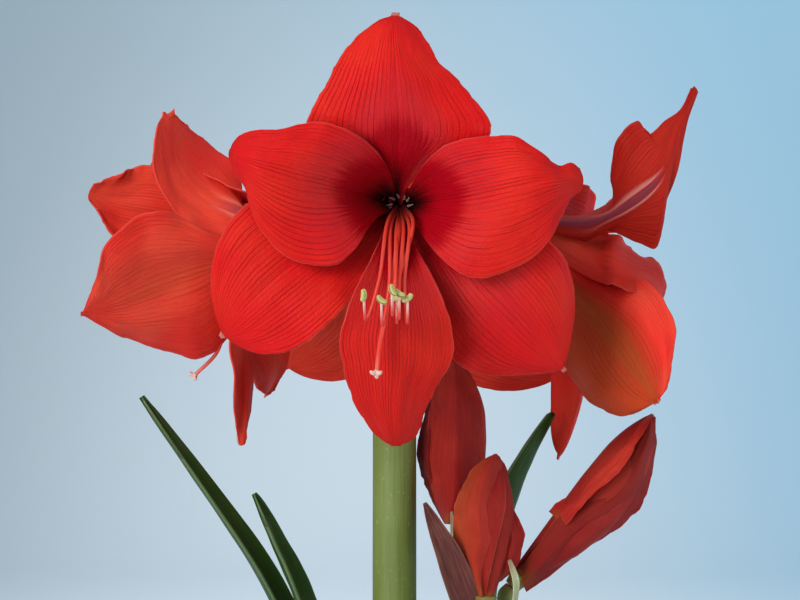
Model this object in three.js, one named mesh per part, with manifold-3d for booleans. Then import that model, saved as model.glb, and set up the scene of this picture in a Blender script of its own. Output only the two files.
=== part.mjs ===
// A potted amaryllis in bloom: a clay pot of soil, a large bulb half out of it, and two flower stalks.
// The tall stalk carries four open flowers, the short one three buds. Millimetres, +Z up.
// The origin is the middle of the pot's underside, and one open flower faces -Y.
import * as THREE from 'three';
import { mergeVertices } from 'three/addons/utils/BufferGeometryUtils.js';
import Module from 'manifold-3d';

const wasm = await Module();
wasm.setup();

// Pot
const POT_HEIGHT = 138;
const POT_FOOT_RADIUS = 54;
const POT_RIM_RADIUS = 80;
const POT_RIM_HEIGHT = 24;
const POT_RIM_STEP = 4;
const POT_WALL = 6;
const POT_SIDES = 36;
const DRAIN_RADIUS = 5;
const DRAIN_RING = 30;
const DRAIN_COUNT = 3;

// Soil, bulb and roots
const SOIL_TOP = 124;
const SOIL_CROWN = 3;
const BULB_BASE = 86;
const BULB_RADIUS = 52;
const NECK_RADIUS = 37;
const NECK_TOP = 186;
const SOCKET_FLOOR = 152;
const BULB_SIDES = 28;
const ROOT_PLATE = { radius: 15, foot: 12, height: 6, sides: 12 };
const ROOT_COUNT = 6;
const ROOT_RADIUS = 1.9;

// Flower stalks
const MAIN_X = -11;
const MAIN_RADIUS = 12.3;
const MAIN_TOP = 572;
const SECOND_RADIUS = 10;
const SECOND_FOOT = [13, -5, SOCKET_FLOOR];
const SECOND_TOP = [42, -8, 372];

// Gap kept between neighbours, and the thickness of the blades
const GAP = 0.35;
const PETAL_THICKNESS = 1.1;
const LEAF_THICKNESS = 2.6;
const PAPER_THICKNESS = 0.9;
const PETAL_TIP_WIDTH = 2.2;

// Steps along and across each petal
const PETAL_ALONG = 8;
const PETAL_ACROSS = [-1, -0.62, 0, 0.62, 1];

// Surfaces may move this far when faces much smaller than the form are merged
const FACE_TOLERANCE = 0.2;

// Share of a blade or a curve over which its direction is measured
const NUDGE = 0.003;

// Finishes
const FINISH = {
  clay: { color: 0xb5653f, roughness: 0.85 },
  soil: { color: 0x3a2a20, roughness: 1.0 },
  tunic: { color: 0x8a5a34, roughness: 0.8 },
  root: { color: 0xd9cdb0, roughness: 0.8 },
  stalk: { color: 0x6a7c49, roughness: 0.5 },
  leaf: { color: 0x3c5a24, roughness: 0.45 },
  petal: { color: 0xd21f23, roughness: 0.5 },
  stamen: { color: 0xd8604a, roughness: 0.5 },
  pedicel: { color: 0x77823f, roughness: 0.5 },
  bud: { color: 0xa8302a, roughness: 0.5 },
  spathe: { color: 0x76443a, roughness: 0.8 },
  bract: { color: 0x9caf74, roughness: 0.6 },
};

// Each petal is a row of sizes: az is its direction round the flower, and spine is the path of its
// midline as (distance from the flower's axis, distance along the axis).
const PETAL = {
  sway: 0, peak: 0.62, lean: 0, taper: 0.6, skew: 0, claw: 10, curl: [36, 0, -30], crease: 0, turn: 0,
  twist: 0, ruffle: 1.6, waves: [3.1, 2.6], phase: [0.1, 0.55],
};

const FLOWERS = {
  front: {
    origin: [-8, -48, 600], axis: [0, -1, -0.04],
    petals: [
      { az: 91, width: 98, peak: 0.46, taper: 0.58, spine: [[5, 0], [12, 45], [52, 84], [97, 52]],
        curl: [36, -15, -60] },
      { az: 203, sway: 13, width: 74, peak: 0.7, taper: 0.62, skew: -0.05, crease: 0.12,
        spine: [[5, 0], [19, 42], [62, 70], [112, 46]], curl: [36, 5, -8] },
      { az: 326, sway: -11, width: 79, peak: 0.7, taper: 0.75, skew: -0.15, crease: 0.12,
        spine: [[5, 0], [26, 42], [68, 70], [119, 34]], curl: [36, -8, -45] },
      { az: 171, sway: -10, width: 72, peak: 0.6, taper: 0.62, skew: 0.05, crease: -0.1,
        spine: [[4, 0], [15, 52], [37, 86], [90, 60]], curl: [76, -22, -48] },
      { az: -2, sway: 12, width: 73, peak: 0.56, taper: 0.75, crease: -0.1,
        spine: [[4, 0], [18, 52], [50, 86], [94, 62]], curl: [76, -28, -55] },
      { az: 268, width: 57, peak: 0.72, taper: 0.55, spine: [[4, 0], [15, 50], [43, 88], [123, 64]],
        curl: [76, -12, -48] },
    ],
    style: [[0, -3, 8], [-1, -16, 48], [-6, -48, 76], [-10, -68, 86], [-11.7, -82, 98]],
  },
  left: {
    origin: [-59, 6, 592], axis: [-0.98, 0.1, 0.06],
    petals: [
      { az: 66, width: 80, peak: 0.6, turn: -25, spine: [[5, 0], [18, 46], [34, 84], [68, 72]],
        curl: [40, 10, -20] },
      { az: 14, width: 62, peak: 0.66, taper: 0.5, spine: [[4, 0], [13, 45], [24, 82], [50, 112]],
        curl: [76, 0, -20] },
      { az: 316, width: 92, crease: 0.1, turn: 12, spine: [[5, 0], [24, 40], [55, 80], [82, 104]],
        curl: [40, 15, 0] },
      { az: 272, width: 56, peak: 0.65, twist: 15, spine: [[4, 0], [12, 42], [46, 62], [122, 38]],
        curl: [76, -10, -40] },
      { az: 128, width: 60, spine: [[4, 0], [13, 50], [28, 82], [56, 96]], curl: [76, 20, -20] },
      { az: 236, width: 70, spine: [[5, 0], [18, 38], [58, 48], [110, 22]], curl: [36, 10, 0] },
    ],
    style: [[0, -3, 8], [-1, -14, 42], [-5, -44, 58], [-7, -66, 60], [-8, -84, 66]],
    spread: [0.7, 0.82],
  },
  right: {
    origin: [47, 6, 596], axis: [0.97, 0.14, -0.12],
    petals: [
      { az: 116, width: 80, peak: 0.6, lean: 0.2, taper: 0.75, skew: -0.38, turn: 72, twist: -18,
        spine: [[5, 0], [9, 56], [12, 98], [84, 92]], curl: [40, -15, -60] },
      { az: 172, width: 60, spine: [[4, 0], [13, 45], [26, 74], [44, 98]], curl: [76, 30, 30] },
      { az: 228, width: 98, peak: 0.66, taper: 0.5, crease: 0.1, turn: -10,
        spine: [[5, 0], [22, 38], [80, 66], [122, 74]], curl: [40, 10, -10] },
      { az: 282, width: 58, twist: -15, spine: [[4, 0], [12, 42], [50, 68], [130, 54]],
        curl: [76, -10, -40] },
      { az: 52, width: 60, spine: [[4, 0], [13, 50], [28, 82], [56, 98]], curl: [76, 20, -20] },
      { az: 345, width: 78, spine: [[5, 0], [19, 40], [58, 66], [98, 74]], curl: [36, 10, 0] },
    ],
    style: [[0, -3, 8], [-1, -14, 46], [-3, -44, 62], [-4, -60, 70], [-5, -70, 78]],
    spread: [0.7, 0.8],
  },
  back: {
    origin: [-7, 46, 584], axis: [0, 1, -0.06],
    petals: [
      { az: 90, width: 90, peak: 0.52, spine: [[5, 0], [16, 38], [58, 68], [94, 38]],
        curl: [36, -15, -40] },
      { az: 150, width: 66, crease: -0.1, spine: [[4, 0], [13, 54], [36, 90], [84, 70]],
        curl: [76, -20, -45] },
      { az: 30, width: 66, crease: -0.1, spine: [[4, 0], [13, 54], [36, 90], [84, 70]],
        curl: [76, -20, -45] },
      { az: 218, width: 82, crease: 0.1, spine: [[5, 0], [18, 38], [62, 62], [118, 38]],
        curl: [36, 10, 0] },
      { az: 314, width: 74, crease: 0.1, spine: [[5, 0], [18, 40], [58, 72], [96, 58]],
        curl: [36, 10, 0] },
      { az: 270, width: 54, spine: [[4, 0], [12, 52], [44, 88], [104, 68]], curl: [76, -10, -35] },
    ],
    style: [[0, -3, 8], [1, -16, 46], [4, -46, 74], [6, -62, 86], [8, -74, 98]],
  },
};

// Filament tips as (sideways, down, forward) from the flower's origin
const ANTHERS = [
  [-18, 46, 108], [-9.5, 51, 104], [-2.5, 44, 112], [1, 53, 110], [6.5, 46, 104], [12, 52, 108],
];
const FILAMENT_RADIUS = 0.9;
const FILAMENT_RING = 1.9;
const STYLE_RADIUS = 1.1;
const ANTHER_LENGTH = 7;
const ANTHER_RADIUS = 1.5;

// Solid tube behind each flower, as (radius, distance along the axis)
const PLUG = [[5.4, -12], [6.2, -6], [7.2, 0], [8.4, 6]];
const PLUG_SIDES = 12;

// Stems of the open flowers and of the buds, with the ovary that swells below each flower
const PEDICEL = { radius: 3.7, ovary: 5.6, ring: 6 };
const BUD_PEDICEL = { radius: 3.2, ovary: 4.4 };
const OVARY_PLACE = 0.8;
const OVARY_SPREAD = 0.16;

// Buds: where each one's petals start, which way it points, its length, its radius at the widest and
// where its stem leaves the stalk
const BUDS = {
  bud_back: { origin: [25.5, 10, 428], axis: [-0.05, 0.02, 1], roll: 25, length: 92, girth: 17.5,
    foot: [39.5, -2.5] },
  bud_front: { origin: [38.5, -25, 392], axis: [-0.01, 0, 1], roll: -20, length: 79, girth: 17.5,
    foot: [42.5, -14] },
  bud_right: { origin: [58, -8, 401], axis: [0.64, 0, 0.77], roll: 10, length: 112, girth: 17,
    foot: [47.5, -6.5] },
};
const BUD_TUBE = [[4.5, -8], [6, -1]];
const BUD_PROFILE = [
  [0.42, 0.04], [0.62, 0.16], [0.84, 0.32], [0.97, 0.48], [1, 0.6], [0.92, 0.72], [0.7, 0.84],
  [0.38, 0.94], [0.1, 1],
];
const BUD_SECTION = [0.02, 0.2, 0.4, 0.6, 0.8, 0.98];
const BUD_OVERLAP = 0.14;
const BUD_SPIRAL = 50;

// Leaves: points that the midline passes through, the half width at its widest and the side that
// the blade spreads to
const LEAVES = {
  leaf_left_long: {
    path: [[-31.8, 0, SOCKET_FLOOR], [-37, 3, 230], [-54, 5, 320], [-78, 3, 388], [-149, 0, 497]],
    half: 16,
    side: [0.25, 1, 0.1],
  },
  leaf_left_short: {
    path: [[-27.4, 0, SOCKET_FLOOR], [-28.5, -3, 230], [-39, -8, 310], [-62, -11, 386], [-87, -12, 445]],
    half: 14,
    side: [0.3, 1, 0.1],
  },
  leaf_right: {
    path: [[30.8, 2.5, SOCKET_FLOOR], [37, 15, 240], [40, 24, 340], [52, 27, 430], [77, 28, 487]],
    half: 15,
    side: [-0.3, -1, 0.1],
  },
};

// Any strap: its width at the foot as a share of the widest, where it starts to close and how
// roundly, and half the width of its tip
const STRAP = { foot: 0.72, closes: 0.42, roundness: 1.9, tip: 0.9 };
const LEAF_STEPS = { curl: 50, along: 12, across: [-1, -0.5, 0, 0.5, 1] };
const VALVE_STEPS = { along: 7, across: [-1, 0, 1] };
const BRACT_STEPS = { curl: 30, along: 6, across: [-1, 0, 1], tip: 0.5 };

// Dry valves that sheathed the umbel: two hang under the open flowers, two stand by the buds
const VALVES = {
  spathe_main_left: {
    path: [[-24.6, 0, 569], [-32, 1, 562], [-35, 2, 535], [-33, 2, 498]],
    half: 9,
    side: [0, -1, 0],
    curl: 45,
  },
  spathe_main_back: {
    path: [[-11, 13.8, 569], [-12, 19, 561], [-13, 22, 532], [-12, 21, 500]],
    half: 9,
    side: [-1, 0, 0],
    foot: [-1, 0, 0],
    curl: 45,
  },
  spathe_second_left: {
    path: [[30.6, -9, 368], [27, -12, 386], [18, -14, 412], [4, -15, 442]],
    half: 12,
    side: [0.8, 1, 0],
    curl: 40,
  },
  spathe_second_right: {
    path: [[53.2, -12, 367], [60, -20, 376], [78, -26, 383], [104, -28, 380]],
    half: 9,
    side: [0.1, -1, 0.2],
    curl: 40,
  },
};

// Thin bracteoles that stand between the bud stalks
const BRACTS = {
  bract_left: {
    path: [[34, -13.5, 374], [28, -15, 395], [22, -17.5, 415], [20, -18, 436]],
    half: 2.2,
    side: [1, -0.4, 0],
  },
  bract_right: {
    path: [[49.5, -15, 373], [52, -18, 385], [56, -18, 398], [58, -18, 411]],
    half: 2.4,
    side: [1, 0.4, 0],
  },
};

const v3 = (p) => new THREE.Vector3(p[0], p[1], p[2]);
const radians = THREE.MathUtils.degToRad;
const alongCurve = (p, u) => (1 - u) ** 2 * p[0] + 2 * u * (1 - u) * p[1] + u * u * p[2];
const evenly = (count) => Array.from({ length: count + 1 }, (_, i) => i / count);
const revolve = (profile, sides) => (
  new THREE.LatheGeometry(profile.map(([r, z]) => new THREE.Vector2(r, z)), sides).rotateX(Math.PI / 2)
);

// Closed solid of a grid of rings: each ring is a list of points, and both ends get a fan
function ringSolid(rings) {
  const sides = rings[0].length;
  const points = rings.flat();
  const first = points.length;
  const last = first + 1;
  points.push(centreOf(rings[0]), centreOf(rings[rings.length - 1]));
  const index = [];
  for (let k = 0; k < sides; k += 1) {
    const next = (k + 1) % sides;
    index.push(first, next, k);
    for (let i = 0; i < rings.length - 1; i += 1) {
      const low = i * sides;
      const high = low + sides;
      index.push(low + k, low + next, high + next, low + k, high + next, high + k);
    }
    const top = (rings.length - 1) * sides;
    index.push(last, top + k, top + next);
  }
  return closedGeometry(points, index);
}

function centreOf(ring) {
  const sum = ring.reduce((total, p) => total.add(p), new THREE.Vector3());
  return sum.divideScalar(ring.length);
}

function closedGeometry(points, index) {
  const geometry = new THREE.BufferGeometry();
  geometry.setAttribute('position', new THREE.Float32BufferAttribute(points.flatMap((p) => p.toArray()), 3));
  geometry.setIndex(index);
  return geometry;
}

// Round stem along a curve, its radius given at each share of the way
function stem(curve, steps, sides, radiusAt) {
  const frames = curve.computeFrenetFrames(steps, false);
  const rings = [];
  for (let i = 0; i <= steps; i += 1) {
    const centre = curve.getPointAt(i / steps);
    const radius = radiusAt(i / steps);
    const ring = [];
    for (let k = 0; k < sides; k += 1) {
      const turn = (2 * Math.PI * k) / sides;
      const point = centre.clone().addScaledVector(frames.normals[i], radius * Math.cos(turn));
      ring.push(point.addScaledVector(frames.binormals[i], radius * Math.sin(turn)));
    }
    rings.push(ring);
  }
  return ringSolid(rings);
}

// Thin closed blade round a surface given by two shares, along and across. Both faces are split
// along the same diagonals.
function blade(surface, along, across, thickness) {
  const faces = [[], []];
  for (const u of along) {
    for (const v of across) {
      const middle = surface(u, v);
      const du = surface(Math.min(u + NUDGE, 1), v).sub(surface(Math.max(u - NUDGE, 0), v));
      const dv = surface(u, v + NUDGE).sub(surface(u, v - NUDGE));
      const normal = du.cross(dv).normalize();
      faces[0].push(middle.clone().addScaledVector(normal, thickness / 2));
      faces[1].push(middle.clone().addScaledVector(normal, -thickness / 2));
    }
  }
  const columns = across.length;
  const rows = along.length;
  const back = rows * columns;
  const index = [];
  for (let i = 0; i < rows - 1; i += 1) {
    for (let j = 0; j < columns - 1; j += 1) {
      const a = i * columns + j;
      const b = a + columns;
      index.push(a, b, b + 1, a, b + 1, a + 1);
      index.push(back + a, back + b + 1, back + b, back + a, back + a + 1, back + b + 1);
    }
  }
  const count = (length) => Array.from({ length }, (_, k) => k);
  const rim = [
    ...count(columns - 1),
    ...count(rows - 1).map((i) => i * columns + columns - 1),
    ...count(columns - 1).map((j) => rows * columns - 1 - j),
    ...count(rows - 1).map((i) => (rows - 1 - i) * columns),
  ];
  rim.forEach((a, k) => {
    const b = rim[(k + 1) % rim.length];
    index.push(a, b, back + b, a, back + b, back + a);
  });
  return closedGeometry([...faces[0], ...faces[1]], index);
}

// Joining and cutting
function solidOf(geometry) {
  const plain = geometry.clone();
  plain.deleteAttribute('normal');
  plain.deleteAttribute('uv');
  const merged = mergeVertices(plain);
  return new wasm.Manifold(new wasm.Mesh({
    numProp: 3,
    vertProperties: new Float32Array(merged.attributes.position.array),
    triVerts: new Uint32Array(merged.index.array),
  }));
}

function geometryOf(solid) {
  const mesh = solid.getMesh();
  const geometry = new THREE.BufferGeometry();
  geometry.setAttribute('position', new THREE.Float32BufferAttribute(mesh.vertProperties, 3));
  geometry.setIndex(Array.from(mesh.triVerts));
  return geometry;
}

// One body out of several: sealed hollows are filled and loose scraps dropped
function fuse(geometries) {
  const whole = geometries.map(solidOf).reduce((sum, next) => sum.add(next));
  const bodies = whole.simplify(FACE_TOLERANCE).decompose();
  return bodies.reduce((best, body) => (body.volume() > best.volume() ? body : best));
}

const cut = (solid, tools) => tools.map(solidOf).reduce((rest, tool) => rest.subtract(tool), solid);

const finishes = Object.fromEntries(Object.entries(FINISH).map(([name, finish]) => (
  [name, new THREE.MeshStandardMaterial({ ...finish, metalness: 0 })]
)));

const plant = new THREE.Group();

function addPiece(name, geometry, finish) {
  geometry.computeVertexNormals();
  const mesh = new THREE.Mesh(geometry, finishes[finish]);
  mesh.name = name;
  plant.add(mesh);
}

// A flower's own directions: side, up and the axis that it faces along
function flowerFrame({ origin, axis, roll = 0 }) {
  const forward = v3(axis).normalize();
  const above = Math.abs(forward.z) > 0.9 ? new THREE.Vector3(0, 1, 0) : new THREE.Vector3(0, 0, 1);
  const up = above.clone().addScaledVector(forward, -above.dot(forward)).normalize();
  up.applyAxisAngle(forward, -radians(roll));
  return { origin: v3(origin), side: up.clone().cross(forward), up, forward };
}

const inFlower = (frame, side, up, forward) => frame.origin.clone()
  .addScaledVector(frame.side, side)
  .addScaledVector(frame.up, up)
  .addScaledVector(frame.forward, forward);

// Middle surface of a petal: its outline widens from the claw to the peak and closes at the tip,
// its section is an arc, and its rim is ruffled by two waves on each side
function petalSurface(frame, sizes) {
  const p = { ...PETAL, ...sizes };
  const outlineAt = (u, peak) => {
    const rise = (p.taper * peak) / (1 - peak);
    return (p.width * u ** rise * (1 - u) ** p.taper) / (peak ** rise * (1 - peak) ** p.taper);
  };
  const spine = new THREE.CubicBezierCurve(...p.spine.map(([r, z]) => new THREE.Vector2(r, z)));
  return (u, v) => {
    const middle = spine.getPoint(u);
    const behind = spine.getPoint(Math.max(u - NUDGE, 0));
    const ahead = spine.getPoint(Math.min(u + NUDGE, 1)).sub(behind).normalize();
    const az = radians(p.az + p.sway * u * u);
    const out = frame.side.clone().multiplyScalar(Math.cos(az)).addScaledVector(frame.up, Math.sin(az));
    const wide = frame.side.clone().multiplyScalar(-Math.sin(az)).addScaledVector(frame.up, Math.cos(az));
    const inner = frame.forward.clone().multiplyScalar(ahead.x).addScaledVector(out, -ahead.y);
    const bulge = Math.sin(Math.PI * u);
    const outline = outlineAt(u, p.peak - p.lean * Math.sign(v));
    const plain = 0.5 * (outline + p.claw * (1 - u) ** 2 + PETAL_TIP_WIDTH * u ** 12);
    const half = plain * (1 + p.skew * Math.sign(v) * bulge);
    const bend = radians(alongCurve(p.curl, u)) || NUDGE;
    const s = v > 0 ? 1 : 0;
    const wave = Math.sin(2 * Math.PI * (p.waves[s] * u + p.phase[s]))
      + 0.45 * Math.sin(2 * Math.PI * (2.3 * p.waves[s] * u + 1.7 * p.phase[s]));
    const flatX = (half * Math.sin(bend * v)) / bend;
    const flatN = (half * (1 - Math.cos(bend * v))) / bend + p.crease * half * Math.abs(v) * bulge
      + p.ruffle * Math.abs(v) ** 2.6 * bulge ** 0.8 * wave;
    const turn = radians(p.twist * u * u + p.turn * (1 - (1 - u) ** 3));
    const x = flatX * Math.cos(turn) - flatN * Math.sin(turn);
    const n = flatX * Math.sin(turn) + flatN * Math.cos(turn);
    return frame.origin.clone().addScaledVector(out, middle.x).addScaledVector(frame.forward, middle.y)
      .addScaledVector(wide, x).addScaledVector(inner, n);
  };
}

// Short solid tube that the petals grow from, widening along the axis
function tubePlug(frame, profile, sides) {
  const rings = profile.map(([radius, along]) => Array.from({ length: sides }, (_, k) => {
    const turn = (2 * Math.PI * k) / sides;
    return inFlower(frame, radius * Math.cos(turn), radius * Math.sin(turn), along);
  }));
  return ringSolid(rings);
}

function addFlower(name, flower) {
  const frame = flowerFrame(flower);
  const petals = flower.petals.map((sizes) => (
    blade(petalSurface(frame, sizes), evenly(PETAL_ALONG), PETAL_ACROSS, PETAL_THICKNESS)
  ));
  addPiece(`petals_${name}`, geometryOf(fuse([...petals, tubePlug(frame, PLUG, PLUG_SIDES)])), 'petal');
  addPiece(`stamens_${name}`, geometryOf(fuse(stamens(frame, flower))), 'stamen');
  const towards = new THREE.Vector3(frame.forward.x, frame.forward.y, 0).setLength(PEDICEL.ring);
  const start = [MAIN_X + towards.x, towards.y, MAIN_TOP + GAP];
  const end = inFlower(frame, 0, 0, PLUG[0][1]).toArray();
  addPiece(`pedicel_${name}`, pedicel(start, end, flower.axis, PEDICEL), 'pedicel');
}

// Six stamens and the style, which lean on the flower's lower side and curve up at their ends
function stamens(frame, flower) {
  const root = PLUG[PLUG.length - 1][1] + GAP;
  const pieces = [tubePlug(frame, [[FILAMENT_RING + 0.7, root], [FILAMENT_RING + 0.7, root + 2.7]], 6)];
  const local = (p) => inFlower(frame, p[0], p[1], p[2]);
  const [sideShare, forwardShare] = flower.spread || [1, 1];
  ANTHERS.forEach(([fullSide, down, fullForward], i) => {
    const side = fullSide * sideShare;
    const forward = fullForward * forwardShare;
    const turn = Math.PI * (1 + (i + 0.5) / ANTHERS.length);
    const way = [
      [FILAMENT_RING * Math.cos(turn), FILAMENT_RING * Math.sin(turn), root + 1],
      [7 * Math.cos(turn), -9 + 4 * Math.sin(turn), 42],
      [side * 0.6, -0.85 * down, forward - 30],
      [side * 0.95, -down - 8, forward - 9],
      [side, -down, forward],
    ].map(local);
    pieces.push(stem(new THREE.CatmullRomCurve3(way), 5, 3, () => FILAMENT_RADIUS));
    const tip = new THREE.LineCurve3(local([side - ANTHER_LENGTH / 2, -down, forward - 1.5]),
      local([side + ANTHER_LENGTH / 2, -down + 1, forward + 0.5]));
    pieces.push(stem(tip, 2, 4, (t) => ANTHER_RADIUS * (0.5 + 2 * t * (1 - t))));
  });
  const style = new THREE.CatmullRomCurve3(flower.style.map(local));
  pieces.push(stem(style, 5, 4, (t) => STYLE_RADIUS * (t > 0.95 ? 2 : 1)));
  return pieces;
}

// Pedicel and ovary from the stalk's head to the foot of a tube
function pedicel(start, end, direction, { radius, ovary }) {
  const forward = v3(direction).normalize();
  const last = v3(end).addScaledVector(forward, -GAP);
  const reach = last.distanceTo(v3(start));
  const curve = new THREE.CubicBezierCurve3(
    v3(start),
    v3(start).add(new THREE.Vector3(0, 0, reach * 0.4)),
    last.clone().addScaledVector(forward, -reach * 0.45),
    last,
  );
  const swell = (t) => Math.exp(-(((t - OVARY_PLACE) / OVARY_SPREAD) ** 2));
  return stem(curve, 8, 7, (t) => radius + (ovary - radius) * swell(t));
}

// Bud: a pointed loft whose section has three petals, each one's last edge standing over the next
function budBody(frame, { length, girth }) {
  const rings = BUD_PROFILE.map(([share, along]) => {
    const ring = [];
    for (let petal = 0; petal < 3; petal += 1) {
      for (const step of BUD_SECTION) {
        const turn = radians(120 * (petal + step) + BUD_SPIRAL * along);
        const radius = share * girth * (1 - BUD_OVERLAP * (1 - step));
        ring.push(inFlower(frame, radius * Math.cos(turn), radius * Math.sin(turn), along * length));
      }
    }
    return ring;
  });
  return ringSolid([...budTube(frame), ...rings]);
}

// Rings of the bud's tube, with as many points as the section above it
function budTube(frame) {
  const turns = [0, 1, 2].flatMap((petal) => BUD_SECTION.map((step) => radians(120 * (petal + step))));
  return BUD_TUBE.map(([radius, along]) => turns.map((turn) => (
    inFlower(frame, radius * Math.cos(turn), radius * Math.sin(turn), along)
  )));
}

function addBud(name, bud) {
  const frame = flowerFrame(bud);
  addPiece(name, budBody(frame, bud), 'bud');
  const start = [bud.foot[0], bud.foot[1], SECOND_TOP[2] + GAP];
  const end = inFlower(frame, 0, 0, BUD_TUBE[0][1]).toArray();
  addPiece(`pedicel_${name}`, pedicel(start, end, bud.axis, BUD_PEDICEL), 'pedicel');
}

// Strap blade on a curve: it turns from its foot's side to its own, is channelled, widens a little
// above the foot and closes to a rounded tip
function strap(sizes, thickness, grow) {
  const { path, half, side, foot = [0, Math.sign(side[1]), 0], tip = STRAP.tip, curl } = sizes;
  const way = path.map(v3);
  way[0].z -= grow;
  const curve = new THREE.CatmullRomCurve3(way);
  const surface = (u, v) => {
    const centre = curve.getPoint(u);
    const tangent = curve.getTangent(u);
    const spread = v3(foot).lerp(v3(side), u);
    const wide = spread.addScaledVector(tangent, -spread.dot(tangent)).normalize();
    const inner = wide.clone().cross(tangent);
    const width = half * (STRAP.foot + (1 - STRAP.foot) * Math.sin(Math.PI * Math.min(u * 1.4, 0.5)));
    const past = Math.max(0, (u - STRAP.closes) / (1 - STRAP.closes));
    const end = Math.sqrt(1 - past ** STRAP.roundness);
    const reach = grow + width * end + tip * (1 - end);
    const bend = radians(curl);
    return centre.addScaledVector(wide, (reach * Math.sin(bend * v)) / bend)
      .addScaledVector(inner, (reach * (1 - Math.cos(bend * v))) / bend);
  };
  return blade(surface, evenly(sizes.along), sizes.across, thickness + 2 * grow);
}

const mainStalk = (grow) => stem(
  new THREE.LineCurve3(v3([MAIN_X, 0, SOCKET_FLOOR - grow]), v3([MAIN_X, 0, MAIN_TOP])),
  6, 16, (t) => MAIN_RADIUS + grow - 0.6 * t,
);

const secondStalk = (grow) => stem(
  new THREE.CubicBezierCurve3(
    v3(SECOND_FOOT).add(new THREE.Vector3(0, 0, -grow)), v3([14, -5, 235]), v3([42, -8, 300]), v3(SECOND_TOP),
  ), 8, 14, (t) => SECOND_RADIUS + grow - 0.5 * t,
);

function bulbBody() {
  const profile = [
    [0, BULB_BASE], [0.38 * BULB_RADIUS, BULB_BASE], [0.72 * BULB_RADIUS, 92], [0.92 * BULB_RADIUS, 104],
    [BULB_RADIUS, 120], [0.98 * BULB_RADIUS, 134], [0.88 * BULB_RADIUS, 149], [0.78 * BULB_RADIUS, 161],
    [NECK_RADIUS + 1, 172], [NECK_RADIUS - 0.6, NECK_TOP], [0, NECK_TOP],
  ];
  return revolve(profile, BULB_SIDES);
}

// Basal plate under the bulb with fleshy roots going down and out
function rootBody(grow) {
  const { radius, foot, height, sides } = ROOT_PLATE;
  const plate = new THREE.CylinderGeometry(radius + grow, foot + grow, height + 2 * grow, sides);
  plate.rotateX(Math.PI / 2).translate(0, 0, BULB_BASE - GAP - height / 2);
  const roots = Array.from({ length: ROOT_COUNT }, (_, i) => {
    const turn = (2 * Math.PI * i) / ROOT_COUNT + 0.2 * Math.sin(5 * i);
    const reach = 34 + 9 * Math.sin(3 * i + 1);
    const low = 24 + 10 * Math.cos(2 * i);
    const at = (r, z) => new THREE.Vector3(r * Math.cos(turn), r * Math.sin(turn), z);
    const way = [at(9, BULB_BASE - 4), at(15, 70), at(0.72 * reach, 54), at(reach, low)];
    return stem(new THREE.CatmullRomCurve3(way), 5, 5, (t) => grow + ROOT_RADIUS * (1 - 0.4 * t));
  });
  return fuse([plate, ...roots]);
}

// The pot's profile runs down its outside from the rim and up its inside; it leans outwards evenly
function potSection() {
  const rimFoot = POT_HEIGHT - POT_RIM_HEIGHT;
  const bodyTop = POT_RIM_RADIUS - POT_RIM_STEP - 3;
  const inner = (z) => POT_FOOT_RADIUS - POT_WALL + ((bodyTop - POT_FOOT_RADIUS) * z) / rimFoot;
  const profile = [
    [0, 0], [POT_FOOT_RADIUS - 2, 0], [POT_FOOT_RADIUS, 2], [bodyTop, rimFoot],
    [POT_RIM_RADIUS - 2, rimFoot + 1], [POT_RIM_RADIUS, rimFoot + 4], [POT_RIM_RADIUS, POT_HEIGHT - 2],
    [POT_RIM_RADIUS - 2, POT_HEIGHT], [inner(POT_HEIGHT) + 2, POT_HEIGHT],
    [inner(POT_HEIGHT), POT_HEIGHT - 2], [inner(POT_WALL), POT_WALL + 2], [inner(POT_WALL) - 3, POT_WALL],
    [0, POT_WALL],
  ];
  return { profile, inner };
}

const { profile: potProfile, inner: potInner } = potSection();
const drains = Array.from({ length: DRAIN_COUNT }, (_, i) => {
  const turn = (2 * Math.PI * (i + 0.25)) / DRAIN_COUNT;
  return new THREE.CylinderGeometry(DRAIN_RADIUS, DRAIN_RADIUS, 4 * POT_WALL, 12)
    .rotateX(Math.PI / 2)
    .translate(DRAIN_RING * Math.cos(turn), DRAIN_RING * Math.sin(turn), 0);
});
addPiece('pot', geometryOf(cut(solidOf(revolve(potProfile, POT_SIDES)), drains)), 'clay');

const bulb = solidOf(bulbBody());
const bulbRoom = bulbBody();
bulbRoom.translate(0, 0, -BULB_BASE);
bulbRoom.scale(1 + GAP / BULB_RADIUS, 1 + GAP / BULB_RADIUS, 1);
bulbRoom.translate(0, 0, BULB_BASE - 0.1);
const soilProfile = [
  [0, POT_WALL + GAP], [potInner(POT_WALL) - 4, POT_WALL + GAP], [potInner(POT_WALL) - 1, POT_WALL + 3],
  [potInner(SOIL_TOP) - 1, SOIL_TOP - SOIL_CROWN], [0.8 * potInner(SOIL_TOP), SOIL_TOP], [0, SOIL_TOP],
];
const soil = solidOf(revolve(soilProfile, 30)).subtract(rootBody(GAP));
addPiece('soil', geometryOf(cut(soil, [bulbRoom])), 'soil');
addPiece('roots', geometryOf(rootBody(0)), 'root');

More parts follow.
